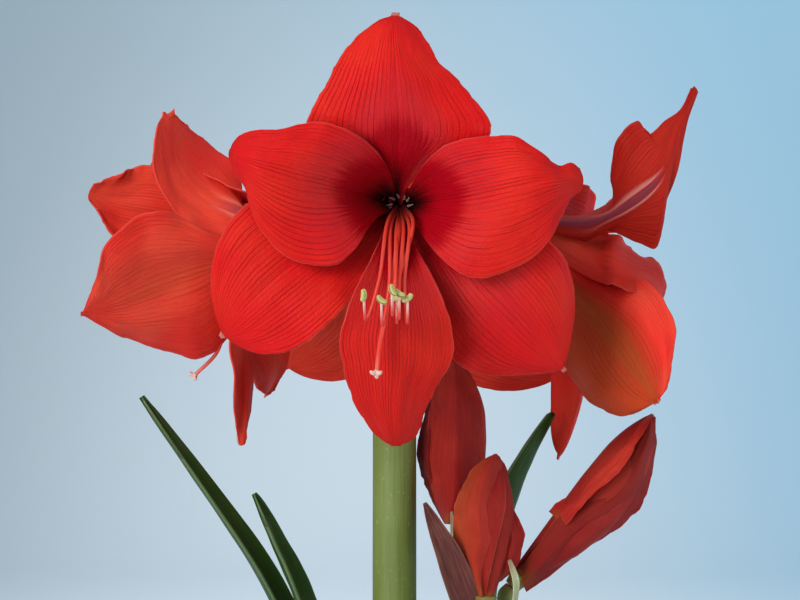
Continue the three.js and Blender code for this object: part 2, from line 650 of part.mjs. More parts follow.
const leafBlade = (leaf, grow) => strap({ ...LEAF_STEPS, ...leaf }, LEAF_THICKNESS, grow);
const leafHoles = Object.values(LEAVES).map((leaf) => leafBlade(leaf, GAP));
addPiece('bulb', geometryOf(cut(bulb, [mainStalk(GAP), secondStalk(GAP), ...leafHoles])), 'tunic');
addPiece('stalk_main', mainStalk(0), 'stalk');
addPiece('stalk_second', secondStalk(0), 'stalk');
for (const [name, leaf] of Object.entries(LEAVES)) {
  addPiece(name, leafBlade(leaf, 0), 'leaf');
}
for (const [name, flower] of Object.entries(FLOWERS)) {
  addFlower(name, flower);
}
for (const [name, bud] of Object.entries(BUDS)) {
  addBud(name, bud);
}
for (const [name, valve] of Object.entries(VALVES)) {
  addPiece(name, strap({ ...VALVE_STEPS, ...valve }, PAPER_THICKNESS, 0), 'spathe');
}
for (const [name, bract] of Object.entries(BRACTS)) {
  addPiece(name, strap({ ...BRACT_STEPS, ...bract }, PAPER_THICKNESS, 0), 'bract');
}

export default plant;
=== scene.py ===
"""A potted amaryllis in bloom: the finished surfaces of the plant and its pot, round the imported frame.

Sizes are millimetres where a name says nothing else, and MM turns them into Blender's metres.
"""

import math
import random

import bmesh
import bpy
from bpy.props import FloatProperty, FloatVectorProperty, IntProperty, PointerProperty
from mathutils import Matrix, Vector, noise


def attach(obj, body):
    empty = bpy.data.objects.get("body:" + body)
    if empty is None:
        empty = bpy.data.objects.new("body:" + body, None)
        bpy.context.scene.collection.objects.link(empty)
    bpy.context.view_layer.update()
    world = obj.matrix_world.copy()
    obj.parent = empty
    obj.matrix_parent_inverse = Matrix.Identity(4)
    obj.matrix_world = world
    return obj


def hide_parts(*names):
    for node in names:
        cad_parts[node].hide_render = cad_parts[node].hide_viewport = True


bl_info = {
    "name": "Potted Amaryllis",
    "version": (1, 0, 0),
    "blender": (4, 5, 0),
    "location": "3D View > Sidebar > Amaryllis",
    "description": "Builds the finished surfaces of a potted amaryllis round its packed frame",
    "category": "Object",
}

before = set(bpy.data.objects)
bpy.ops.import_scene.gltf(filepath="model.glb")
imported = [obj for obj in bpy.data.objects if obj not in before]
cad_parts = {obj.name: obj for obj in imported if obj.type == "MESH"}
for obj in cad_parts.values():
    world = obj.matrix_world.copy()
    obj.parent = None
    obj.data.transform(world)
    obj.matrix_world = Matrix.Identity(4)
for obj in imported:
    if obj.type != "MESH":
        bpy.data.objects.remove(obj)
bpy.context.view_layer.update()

MM = 0.001
SEED = 7
NUDGE = 0.001
SPAN = "span"


# Sizes that the plant shares with its frame

POT_HEIGHT = 138
POT_FOOT_RADIUS = 54
POT_RIM_RADIUS = 80
POT_RIM_HEIGHT = 24
POT_RIM_STEP = 4
POT_WALL = 6
DRAIN_RADIUS = 5
DRAIN_RING = 30
DRAIN_COUNT = 3

SOIL_TOP = 124
BULB_BASE = 86
BULB_RADIUS = 52
NECK_RADIUS = 37
NECK_TOP = 186
SOCKET_FLOOR = 152

MAIN_X = -11
MAIN_RADIUS = 12.3
MAIN_TOP = 572
SECOND_RADIUS = 10
SECOND_WAY = [(13, -5, SOCKET_FLOOR), (14, -5, 235), (42, -8, 300), (42, -8, 372)]
SECOND_TOP = 372
GAP = 0.35

# Petals that the photo shows plainly are laid through rows of spots, from foot to tip. A spot is
# read off the photo's frame as (pixels right, pixels down), and its third number is its depth in
# millimetres behind the main stalk. One pixel is VIEW_DISTANCE / VIEW_PIXELS wide at no depth.

VIEW_DISTANCE = 1600
VIEW_PIXELS = 2935.8
VIEW_MIDDLE = (400, 300)
VIEW_AIM = (-8, 550)
HALF = 0.5
BELLY = (0.25, 1.05, 0.25)


def seen(across, down, depth, grain):
    """Millimetre place of a spot in the photo, to the nearest grain."""
    scale = (depth + VIEW_DISTANCE) / VIEW_PIXELS
    right = VIEW_AIM[0] + (across - VIEW_MIDDLE[0]) * scale
    up = VIEW_AIM[1] - (down - VIEW_MIDDLE[1]) * scale
    return tuple(round(value / grain) * grain for value in (right, depth, up))


def spots(grain, *rows):
    """A net from rows of spots."""
    return [[seen(*spot, grain) for spot in row] for row in rows]


def level_spots(*rows):
    """A net whose rows are level: three places across, one down, the middle's depth and the rims'."""
    return [
        [seen(first, down, rims, HALF), seen(middle, down, depth, HALF), seen(last, down, rims, HALF)]
        for first, middle, last, down, depth, rims in rows]


def rolled(start, end):
    """How far forward the two rims and the middle of a sheet stand that is rolled between two angles."""
    return [math.cos(math.radians(start + (end - start) * part)) for part in (0, HALF, 1)]


def bowed_spots(depth, bulge, bow, taper, edges):
    """A net between two rims, which bulges forward and closes at both ends."""
    rows = []
    for k, (left, right) in enumerate(edges):
        way = (k + 0.35) / (len(edges) - 0.3)
        forward = bulge * math.sin(math.pi * way) ** taper
        rows.append([
            seen(left[0] + (right[0] - left[0]) * part, left[1] + (right[1] - left[1]) * part,
                 depth - forward * ahead, HALF)
            for part, ahead in zip((0, HALF, 1), bow)])
    return rows


# Each petal is a row of sizes: az is its direction round the flower, and spine is the path of its
# midline as (distance from the flower's axis, distance along the axis). A petal with a net is laid
# through it instead. patch is how far up the petal the dark throat reaches, which is partly its own
# colour and partly painted shade deep in the tube; green and violet are the strength of the stripes
# on its back, and the dull share is how far the petal turns a duller red, partly its own tone and
# partly painted shade on petals that lie in shade.
PETAL = {
    "sway": 0, "peak": 0.62, "lean": 0, "taper": 0.6, "skew": 0, "claw": 10, "curl": (36, 0, -30),
    "crease": 0, "turn": 0, "twist": 0, "ruffle": 1.6, "waves": (3.1, 2.6), "phase": (0.1, 0.55),
    "patch": 0.36, "wedge": 0.45, "nub": 2.5, "dull": 0.25, "green": 0.5, "green_side": 0,
    "violet": 0.2, "violet_to": 0.5, "frill": 0.5,
}

FLOWERS = {
    "front": {
        "origin": (-8, -48, 600), "axis": (0, -1, -0.04),
        "petals": [
            {"net": level_spots(
                (402, 396, 390, 205, -50, -54),
                (409, 397, 384, 185, -68, -64),
                (438, 397, 356, 164, -88, -84),
                (486, 398, 311, 141, -100, -103),
                (490, 398, 307, 122, -106, -105),
                (474, 397, 317, 100, -110, -104),
                (459, 396, 328, 80, -112, -103),
                (438, 395, 338, 62, -110, -101),
                (428, 394, 350, 45, -107, -99),
                (420, 394, 364, 30, -104, -97),
                (407, 394, 379, 20.5, -101, -98),
                (399, 395, 391, 16.5, -99, -98)
             ),
             "patch": 0.38, "wedge": 0.8, "ruffle": 0.8, "frill": 0.8},
            {"az": 203, "sway": 13, "width": 74, "peak": 0.7, "taper": 0.62, "skew": -0.05,
             "crease": 0.12, "spine": ((5, 0), (19, 42), (62, 70), (112, 46)), "curl": (36, 5, -8),
             "patch": 0.34},
            {"az": 326, "sway": -11, "width": 79, "peak": 0.7, "taper": 0.75, "skew": -0.15,
             "crease": 0.12, "spine": ((5, 0), (26, 42), (68, 70), (119, 34)),
             "curl": (36, -8, -45), "patch": 0.5},
            {"net": spots(HALF,
                ((396, 196, -56), (392, 204, -50), (394, 212, -56)),
                ((389, 172, -82), (376, 196, -70), (380, 216, -80)),
                ((382, 158, -98), (360, 192, -88), (366, 232, -96)),
                ((366, 141, -108), (341, 188, -102), (354, 250, -104)),
                ((344, 128, -114), (320, 184, -112), (338, 264, -107)),
                ((322, 122, -117), (300, 179, -119), (312, 266, -107)),
                ((300, 124, -118), (280, 173, -123), (286, 256, -108)),
                ((280, 130, -117), (263, 168, -124), (265, 235, -111)),
                ((262, 131, -115), (249, 163, -122), (252, 211, -112)),
                ((247, 132, -112), (239, 158, -117), (243, 186, -112)),
                ((236, 138, -110), (233, 155, -112), (234, 174, -110)),
                ((231, 149, -108), (230, 154, -108), (231, 160, -108))
             ),
             "patch": 0.3, "wedge": 0.1, "nub": 0.8, "ruffle": 0.8},
            {"net": spots(HALF,
                ((402, 213, -56), (405, 206, -50), (404, 198, -56)),
                ((417, 228, -80), (423, 202, -70), (415, 178, -82)),
                ((432, 248, -96), (443, 200, -88), (428, 159, -98)),
                ((446, 263, -103), (463, 197, -102), (446, 145, -108)),
                ((464, 275, -106), (482, 193, -112), (468, 138, -114)),
                ((488, 277, -106), (502, 189, -119), (491, 136, -117)),
                ((512, 270, -107), (521, 185, -123), (512, 136, -118)),
                ((535, 256, -109), (538, 181, -124), (530, 144, -118)),
                ((551, 236, -111), (553, 179, -122), (546, 157, -117)),
                ((563, 215, -112), (565, 179, -118), (560, 166, -115)),
                ((571, 198, -111), (575, 180, -114), (571, 163, -115)),
                ((580, 191, -109), (582, 180, -110), (579, 168, -112))
             ),
             "patch": 0.29, "wedge": 0.1, "nub": 0.5, "ruffle": 0.8},
            {"net": level_spots(
                (390, 398, 406, 205, -50, -54),
                (386, 398, 410, 222, -66, -74),
                (379, 397, 414, 243, -84, -92),
                (367, 397, 428, 268, -100, -108),
                (354, 396, 440, 292, -110, -116),
                (344, 396, 450, 318, -117, -120),
                (339, 396, 454, 342, -121, -120),
                (344, 396, 449, 366, -122, -117),
                (350, 394, 434, 390, -121, -113),
                (360, 393, 425, 412, -119, -110),
                (371, 394, 420, 430, -115, -108),
                (382, 395, 412, 440, -112, -108),
                (391, 396, 401, 445, -110, -109)
             ),
             "patch": 0.3, "wedge": 0.1, "dull": 0.6, "nub": 0.6, "ruffle": 0.6, "frill": 0.9},
        ],
        "style": ((0, -3, 8), (-1, -16, 48), (-6, -48, 76), (-10, -68, 86), (-11.7, -82, 98)),
    },
    "left": {
        "origin": (-59, 6, 592), "axis": (-0.98, 0.1, 0.06),
        "petals": [
            {"net": spots(1,
                ((304, 220, 0), (305, 217, 2), (306, 214, 4), (307, 213, 6), (307, 214, 9)),
                ((258, 238, -12), (262, 230, -6), (264, 221, 0), (262, 217, 6), (258, 214, 12)),
                ((241, 236, -15), (246, 226, -8), (250, 216, -2), (247, 211, 6), (243, 206, 14)),
                ((222, 233, -19), (228, 222, -11), (234, 210, -4), (239, 198, 7), (242, 187, 18)),
                ((190, 226, -24), (198, 212, -14), (206, 196, -6), (219, 178, 6), (229, 163, 18)),
                ((170, 206, -24), (174, 190, -18), (186, 174, -8), (198, 154, 5), (206, 140, 16)),
                ((154, 158, -28), (162, 152, -21), (172, 146, -12), (181, 135, 0), (188, 126, 10)),
                ((156, 128, -24), (161, 122, -20), (167, 120, -16), (174, 115, -10), (180, 120, -4)),
                ((162, 117, -18), (164, 117, -17), (167, 118, -16), (171, 116, -15), (175, 113, -14))
             ),
             "violet": 0.7, "violet_to": 0.5, "green": 0.05, "dull": 0},
            {"net": spots(1,
                ((304, 229, 4), (305, 225, 2), (305, 221, 2), (306, 217, 3), (306, 216, 6)),
                ((260, 246, 3), (262, 232, 0), (264, 220, 0), (265, 213, 3), (262, 209, 10)),
                ((221, 256, -2), (224, 240, -4), (227, 222, -3), (228, 207, 1), (226, 195, 9)),
                ((186, 258, -8), (187, 239, -8), (189, 218, -6), (190, 198, -2), (190, 182, 3)),
                ((152, 256, -14), (152, 235, -14), (154, 212, -12), (157, 188, -8), (160, 166, -3)),
                ((117, 242, -24), (117, 226, -22), (120, 206, -20), (125, 187, -16), (132, 169, -13)),
                ((100, 216, -28), (98, 208, -27), (98, 199, -26), (102, 188, -24), (111, 177, -22)),
                ((91, 202, -29), (90, 199, -29), (90, 195, -29), (91, 190, -28), (95, 185, -28))
             ),
             "frill": 2.2, "green": 0.1, "violet": 0, "nub": 0.8, "dull": 0},
            {"net": spots(1,
                ((305, 233, 7), (305, 232, 4), (305, 229, 2), (305, 225, 1), (304, 221, 0)),
                ((264, 268, 17), (266, 257, 6), (265, 245, -3), (262, 236, -9), (256, 230, -12)),
                ((240, 316, 21), (234, 286, 4), (228, 262, -7), (221, 246, -19), (213, 234, -24)),
                ((212, 354, 13), (203, 316, -5), (190, 275, -14), (181, 245, -29), (170, 212, -35)),
                ((172, 352, 3), (165, 323, -16), (153, 289, -23), (145, 250, -39), (140, 216, -44)),
                ((132, 340, -16), (127, 324, -28), (119, 302, -34), (112, 274, -45), (107, 246, -50)),
                ((106, 328, -31), (103, 319, -36), (100, 310, -39), (96, 297, -44), (93, 283, -47)),
                ((84, 315, -42), (84, 315, -42), (83, 314, -43), (83, 313, -43), (83, 312, -43))
             ),
             "green": 0.3, "violet": 0.12, "violet_to": 0.25, "dull": 0, "nub": 1.5},
            {"net": spots(1,
                ((306, 225, 10), (306, 229, 8), (306, 230, 6), (305, 228, 4), (304, 224, 2)),
                ((274, 236, 20), (274, 241, 15), (273, 243, 8), (270, 239, 1), (266, 233, -4)),
                ((256, 262, 30), (256, 264, 20), (254, 264, 9), (250, 262, -2), (244, 258, -11)),
                ((252, 300, 32), (248, 299, 21), (243, 297, 9), (238, 295, -4), (234, 292, -15)),
                ((253, 342, 28), (248, 341, 17), (241, 340, 10), (235, 339, -4), (232, 337, -13)),
                ((251, 392, 20), (247, 392, 11), (240, 391, 10), (234, 390, 0), (232, 388, -8)),
                ((247, 434, 8), (245, 439, 7), (242, 441, 6), (240, 440, 6), (238, 436, 5))
             )},
            {"az": 142, "width": 56, "curl": (76, 20, -20),
             "spine": ((4, 0), (11, 50), (18, 80), (34, 94))},
            {"net": spots(1,
                ((307, 224, 12), (307, 227, 11), (306, 230, 9), (306, 232, 7), (304, 233, 4)),
                ((279, 222, 29), (280, 235, 23), (279, 245, 16), (276, 252, 7), (270, 257, -1)),
                ((262, 232, 45), (265, 249, 35), (264, 265, 24), (259, 278, 11), (248, 288, -1)),
                ((264, 258, 60), (264, 276, 47), (260, 293, 34), (252, 309, 19), (243, 324, 8)),
                ((272, 296, 70), (270, 313, 58), (264, 330, 45), (256, 346, 32), (247, 360, 20)),
                ((286, 338, 74), (282, 350, 64), (275, 363, 54), (267, 376, 44), (259, 388, 36)),
                ((287, 364, 68), (282, 372, 64), (275, 380, 60), (269, 388, 54), (264, 394, 48)),
                ((276, 386, 62), (273, 388, 62), (271, 390, 61), (268, 392, 60), (266, 394, 59))
             )},
        ],
        "style": ((0, -3, 8), (-1, -12, 30), (-3, -34, 44), (-5, -60, 43), (-6, -74, 46.5), (-8, -87, 58)),
        "spread": (0.7, 0.82),
    },
    "right": {
        "origin": (47, 6, 596), "axis": (0.97, 0.14, -0.12),
        "petals": [
            {"net": spots(1,
                ((500, 207, 9), (501, 206, 6), (502, 207, 4), (502, 210, 2), (502, 213, 0)),
                ((548, 213, 8), (551, 216, 0), (553, 221, -5), (553, 228, -5), (552, 234, 0)),
                ((584, 216, 6), (587, 218, -4), (590, 222, -10), (588, 233, -10), (583, 243, -4)),
                ((611, 199, 2), (611, 207, -7), (612, 214, -14), (604, 226, -13), (597, 238, -8)),
                ((610, 172, -2), (622, 187, -10), (632, 203, -17), (624, 219, -15), (612, 232, -9)),
                ((619, 138, -8), (636, 163, -13), (650, 188, -19), (645, 215, -18), (637, 241, -12)),
                ((637, 121, -8), (651, 146, -14), (663, 172, -19), (662, 210, -20), (655, 248, -14)),
                ((648, 133, -12), (658, 145, -15), (668, 157, -17), (669, 185, -16), (665, 214, -12)),
                ((666, 120, -13), (671, 126, -15), (676, 133, -16), (677, 150, -16), (675, 170, -13)),
                ((682, 109, -15), (684, 110, -16), (685, 111, -16), (687, 114, -16), (688, 120, -15)),
                ((689, 93, -15), (690, 92, -15), (692, 91, -15), (694, 93, -15), (696, 97, -14))
             ),
             "violet": 0.9, "violet_to": 0.64, "green": 0, "dull": 0.9},
            {"net": spots(1,
                ((502, 209, 5), (501, 210, 3), (501, 214, 2), (501, 219, 3), (501, 222, 4)),
                ((545, 216, 14), (544, 219, 8), (543, 227, 2), (543, 238, -2), (545, 247, -6)),
                ((578, 222, 20), (576, 228, 8), (573, 240, -4), (573, 256, -14), (577, 270, -18)),
                ((600, 228, 24), (600, 238, 8), (600, 252, -10), (600, 268, -24), (602, 284, -31)),
                ((614, 238, 12), (613, 245, -6), (613, 257, -22), (614, 271, -34), (617, 286, -41)),
                ((630, 248, 12), (629, 254, -4), (629, 264, -16), (631, 276, -31), (634, 290, -44)),
                ((649, 257, 14), (650, 264, 2), (650, 272, -12), (650, 282, -28), (649, 292, -44)),
                ((660, 267, 6), (661, 273, -4), (661, 280, -14), (661, 288, -26), (659, 296, -40)),
                ((665, 280, -2), (665, 285, -8), (665, 289, -14), (664, 293, -20), (662, 298, -30))
             ),
             "frill": 1.2, "violet": 0, "green": 0.1, "dull": 0.35, "nub": 0.8},
            {"net": spots(1,
                ((503, 214, 0), (502, 218, 1), (500, 222, 3), (500, 225, 5), (500, 226, 7)),
                ((552, 250, -3), (548, 256, -4), (544, 263, -2), (539, 268, 5), (535, 272, 15)),
                ((592, 272, -12), (584, 282, -13), (574, 292, -12), (564, 301, -4), (556, 310, 11)),
                ((628, 277, -26), (614, 293, -32), (598, 315, -27), (580, 334, -15), (565, 350, 5)),
                ((658, 290, -48), (645, 312, -53), (624, 348, -42), (601, 376, -32), (579, 392, -9)),
                ((674, 328, -66), (664, 353, -64), (645, 380, -52), (625, 402, -46), (605, 412, -27)),
                ((668, 382, -66), (664, 389, -66), (655, 396, -60), (644, 407, -56), (632, 413, -46)),
                ((659, 398, -64), (658, 400, -64), (657, 401, -63), (655, 402, -62), (653, 403, -62))
             ),
             "green": 0.95, "green_side": 1, "violet": 0, "dull": 0.75, "nub": 1.5},
            {"az": 282, "width": 58, "twist": -15, "curl": (76, -10, -40),
             "spine": ((4, 0), (12, 42), (50, 68), (130, 54))},
            {"net": spots(1,
                ((499, 218, 10), (499, 214, 10), (500, 210, 8), (501, 208, 6), (502, 210, 4)),
                ((540, 238, 22), (540, 230, 20), (543, 224, 16), (548, 220, 10), (553, 219, 4)),
                ((573, 243, 34), (573, 232, 30), (577, 224, 24), (584, 219, 14), (592, 218, 5)),
                ((600, 236, 49), (603, 222, 40), (608, 210, 30), (613, 204, 20), (616, 202, 10)),
                ((624, 227, 59), (628, 207, 48), (634, 188, 37), (640, 176, 26), (645, 166, 16)),
                ((642, 203, 65), (648, 191, 55), (654, 177, 45), (657, 165, 36), (659, 152, 27)),
                ((660, 170, 56), (661, 168, 55), (662, 166, 55), (662, 164, 54), (662, 162, 54))
             )},
            {"az": 345, "width": 78, "curl": (36, 10, 0),
             "spine": ((5, 0), (19, 40), (58, 66), (98, 74))},
        ],
        "style": ((0, -3, 8), (-1, -14, 46), (-3, -44, 62), (-4, -60, 70), (-5, -70, 78)),
        "spread": (0.7, 0.8),
    },
    "back": {
        "origin": (-7, 46, 584), "axis": (0, 1, -0.06),
        "petals": [
            {"az": 90, "width": 90, "peak": 0.52, "curl": (36, -15, -40),
             "spine": ((5, 0), (16, 38), (58, 68), (94, 38))},
            {"az": 150, "width": 66, "crease": -0.1, "curl": (76, -20, -45),
             "spine": ((4, 0), (13, 54), (36, 90), (84, 70))},
            {"az": 30, "width": 66, "crease": -0.1, "curl": (76, -20, -45),
             "spine": ((4, 0), (13, 54), (36, 90), (84, 70))},
            {"az": 218, "width": 82, "crease": 0.1, "curl": (36, 10, 0),
             "spine": ((5, 0), (18, 38), (62, 62), (118, 38))},
            {"az": 314, "width": 74, "crease": 0.1, "curl": (36, 10, 0),
             "spine": ((5, 0), (18, 40), (58, 72), (96, 58))},
            {"az": 270, "width": 54, "curl": (76, -10, -35),
             "spine": ((4, 0), (12, 52), (44, 88), (104, 68))},
        ],
        "style": ((0, -3, 8), (1, -16, 46), (4, -46, 74), (6, -62, 86), (8, -74, 98)),
    },
}

# Filament tips as (sideways, down, forward) from the flower's origin, and how far each anther is
# turned round the line of sight
ANTHERS = [
    (-17.8, 44, 108, 84), (-9.2, 46.6, 106, -38), (-3.9, 41.4, 112, -66), (-0.4, 43.2, 109, -32),
    (3.8, 45.6, 106, 34), (-1.6, 46, 96, 10),
]
FILAMENT_RADIUS = 0.95
FILAMENT_RING = 1.9
FILAMENT_HOOK = 12
STYLE_RADIUS = 1.15
ANTHER_LENGTH = 6
ANTHER_RADIUS = 1.25

# The tube behind each flower, as (radius, distance along the axis)
TUBE = [(0.3, -12.2), (4.4, -12), (5.4, -11), (6.2, -6), (7.2, 0), (8.6, 8), (9.8, 15)]
PEDICEL = {"radius": 3.7, "ovary": 5.6, "ring": 6}
BUD_PEDICEL = {"radius": 3.2, "ovary": 4.4}
OVARY_PLACE = 0.8
OVARY_SPREAD = 0.16

BUDS = {
    "bud_back": {"origin": (25.5, 10, 428), "axis": (-0.05, 0.02, 1), "roll": 25, "length": 92,
                 "girth": 17.5, "foot": (39.5, -2.5)},
    "bud_front": {"origin": (38, -25, 392), "axis": (0.05, 0, 1), "roll": -20, "length": 74,
                  "girth": 14.5, "foot": (42.5, -14)},
    "bud_right": {"origin": (58, -8, 401), "axis": (0.64, 0, 0.77), "roll": 10, "length": 112,
                  "girth": 17, "foot": (47.5, -6.5), "bow": 6},
}
BUD_TUBE = [(0.3, -8.2), (4.2, -8), (4.8, -6), (6, -1)]
BUD_PROFILE = [
    (0.36, 0), (0.42, 0.04), (0.62, 0.16), (0.84, 0.32), (0.97, 0.48), (1, 0.6), (0.92, 0.72),
    (0.7, 0.84), (0.38, 0.94), (0.1, 1),
]
BUD_SPIRAL = 50

# Outer petals of the buds, from foot to tip; maroon and green are how strongly each is tinted, and the maroon
# is partly painted shade on shaded petals
BUD_PETALS = {
    "bud_back": (
        {"maroon": 0.45, "green": 0.1, "net": bowed_spots(8, 17, BELLY, 0.5, (
            ((444, 523), (453, 524)), ((437, 506), (468, 506)), ((430, 482), (480, 482)),
            ((425.3, 458), (484.5, 456)), ((428.5, 428), (484, 428)), ((431.5, 402), (481.4, 402)),
            ((437, 379), (473, 383)), ((445, 364), (462, 368)), ((452, 357), (454, 357)),
        ))},
        {"maroon": 1, "green": 0, "net": bowed_spots(12, 9, BELLY, 0.5, (
            ((445, 524), (452, 524)), ((431, 500), (446, 500)), ((425, 483), (442, 483)),
            ((419, 472), (440, 468)), ((417.5, 452), (440, 450)), ((421, 427), (442, 427)),
            ((427, 402), (446, 402)), ((433, 382), (449, 382)), ((443, 366), (450, 366)),
        ))},
    ),
    "bud_front": (
        {"maroon": 0.1, "green": 0.6, "net": bowed_spots(-26, 14, BELLY, 0.5, (
            ((478, 597), (484, 597)), ((467, 574), (487, 575)), ((458.6, 557), (496, 559)),
            ((453.7, 540), (507.5, 538)), ((453, 522), (505, 522)), ((455.7, 503), (503, 501)),
            ((461.5, 486), (502.5, 482)), ((471, 470), (502, 468)), ((483, 460), (500.5, 459)),
            ((494.5, 454), (497, 454)),
        ))},
        {"maroon": 0.45, "green": 0.1, "net": bowed_spots(-21, 7, BELLY, 0.5, (
            ((490, 585), (502, 581)), ((496, 566), (517, 566)), ((500, 548), (522, 550)),
            ((500, 536), (524.5, 534.5)), ((500, 520), (517, 519)), ((499, 500), (512, 500)),
            ((498, 480), (508.5, 480)), ((497, 465), (504, 464)), ((496, 457), (499, 456)),
        ))},
    ),
    "bud_right": (
        {"maroon": 0.85, "green": 0.1, "net": bowed_spots(-8, 17, rolled(-40, 88), 0.5, (
            ((519, 572), (526, 592)), ((529, 557), (543, 580)), ((541, 540), (563, 566)),
            ((554, 521), (583, 551)), ((570, 505), (602, 539)), ((588, 492), (621, 525.5)),
            ((605, 478), (637.5, 511)), ((618, 464), (646, 494)), ((630, 448), (653, 466)),
            ((641, 432), (656.8, 440)), ((650, 416), (654, 422)),
        ))},
        {"maroon": 0, "green": 0, "net": bowed_spots(-8, 21, rolled(-84, -6), 0.22, (
            ((549, 511), (564, 527)), ((556, 503), (571, 521)), ((571, 496), (577, 511)),
            ((583, 480), (590, 498)), ((597, 461.5), (606, 484)), ((611.4, 444.3), (620, 470)),
            ((628.6, 430), (632, 452)), ((643, 420), (643, 434)), ((650.5, 414.5), (652.5, 416.5)),
        ))},
    ),
}

LEAVES = {
    "leaf_left_long": {
        "path": ((-31.8, 0, SOCKET_FLOOR), (-37, 3, 230), (-54, 5, 320), (-78, 3, 388), (-149, 0, 497)),
        "half": 17.5, "side": (0.45, 1, 0.1), "pointed": 0.68},
    "leaf_left_short": {
        "path": ((-27.4, 0, SOCKET_FLOOR), (-28.5, -3, 230), (-39, -8, 310), (-62, -11, 386),
                 (-87, -12, 445)),
        "half": 15.5, "side": (0.5, 1, 0.1), "pointed": 0.68},
    "leaf_right": {
        "path": ((30.8, 2.5, SOCKET_FLOOR), (37, 15, 240), (40, 24, 340), (52, 27, 430), (77, 28, 487)),
        "half": 18.5, "side": (-0.55, -1, 0.1), "pointed": 0.55},
}
STRAP_FOOT = 0.72
STRAP_CLOSES = 0.42
STRAP_ROUNDNESS = 1.9
LEAF_CURL = 50

VALVES = {
    "spathe_main_left": {
        "path": ((-24.6, 0, 569), (-32, 1, 562), (-35, 2, 535), (-33, 2, 498)), "half": 9,
        "side": (0, -1, 0), "curl": 45},
    "spathe_main_back": {
        "path": ((-11, 13.8, 569), (-12, 19, 561), (-13, 22, 532), (-12, 21, 500)), "half": 9,
        "side": (-1, 0, 0), "foot": (-1, 0, 0), "curl": 45},
    "spathe_second_left": {
        "path": ((34, -14, 368), (28, -27, 386), (18, -36, 412), (5, -38, 442)), "half": 9.5,
        "side": (1, 0.25, 0.3), "foot": (1, 0.6, 0), "curl": 40, "pointed": 0.9},
    "spathe_second_right": {
        "path": ((53.2, -12, 367), (60, -20, 376), (78, -26, 383), (104, -28, 380)), "half": 9,
        "side": (0.1, -1, 0.2), "curl": 40},
}
BRACTS = {
    "bract_left": {
        "path": ((34, -13.5, 374), (28, -15, 395), (22, -17.5, 415), (20, -18, 436)), "half": 2.2,
        "side": (1, -0.4, 0), "curl": 30},
    "bract_right": {
        "path": ((49.5, -17, 373), (52.5, -22, 385), (54, -26, 398), (50.5, -29, 411)), "half": 2.6,
        "side": (1, 0.4, 0), "curl": 30},
}


def paint(red, green, blue):
    """A screen colour from 0 to 255 as the linear colour that Blender's shaders take."""
    def linear(channel):
        share = channel / 255
        return share / 12.92 if share <= 0.04045 else ((share + 0.055) / 1.055) ** 2.4
    return linear(red), linear(green), linear(blue)


def colour(name, description, default):
    return FloatVectorProperty(
        name=name, description=description, subtype="COLOR", size=3, min=0, max=1, default=default)


def length(name, description, default):
    return FloatProperty(
        name=name, description=description, unit="LENGTH", min=0, soft_max=1, precision=4,
        default=default)


def share(name, description, default):
    return FloatProperty(
        name=name, description=description, subtype="FACTOR", min=0, max=1, default=default)


class PotSettings(bpy.types.PropertyGroup):
    """Clay pot and what fills it"""
    clay: colour("Clay", "Fired clay of the pot", paint(176, 100, 64))
    bloom: colour("Lime bloom", "Pale lime that dries on the clay", paint(206, 176, 150))
    wear: share("Bloom amount", "How much of the pot the lime covers", 0.35)
    soil: colour("Soil", "Moist potting soil", paint(52, 38, 29))
    crumbs: IntProperty(name="Crumbs", description="Loose crumbs of soil", default=700, min=0)
    crumb: length("Crumb size", "Radius of the largest crumbs", 0.0026)


class BulbSettings(bpy.types.PropertyGroup):
    """Bulb with its dry skin and its roots"""
    tunic: colour("Tunic", "Dry papery skin of the bulb", paint(134, 88, 54))
    flesh: colour("Neck", "Pale green flesh where the leaves come out", paint(176, 184, 128))
    root: colour("Root", "Fleshy roots", paint(214, 202, 172))


class GreenSettings(bpy.types.PropertyGroup):
    """Flower stalks, leaves and the dry parts of the umbel"""
    stalk: colour("Stalk", "Grey green of the flower stalks", paint(106, 118, 50))
    stalk_pale: colour("Stalk bloom", "Waxy bloom on the stalks", paint(122, 134, 70))
    leaf: colour("Leaf", "Green of the leaves", paint(46, 76, 14))
    # Partly the leaf's paler midline and margins, partly a painted sheen in soft patches.
    leaf_pale: colour("Leaf sheen", "Greyer green on the leaf's back", paint(104, 120, 82))
    leaf_thickness: length("Leaf thickness", "Thickness of the leaf blades", 0.0019)
    spathe: colour("Spathe", "Withered spathe valves", paint(122, 66, 58))
    bract: colour("Bract", "Thin pale bracteoles", paint(168, 180, 128))
    paper_thickness: length("Paper thickness", "Thickness of spathe and bracts", 0.0006)


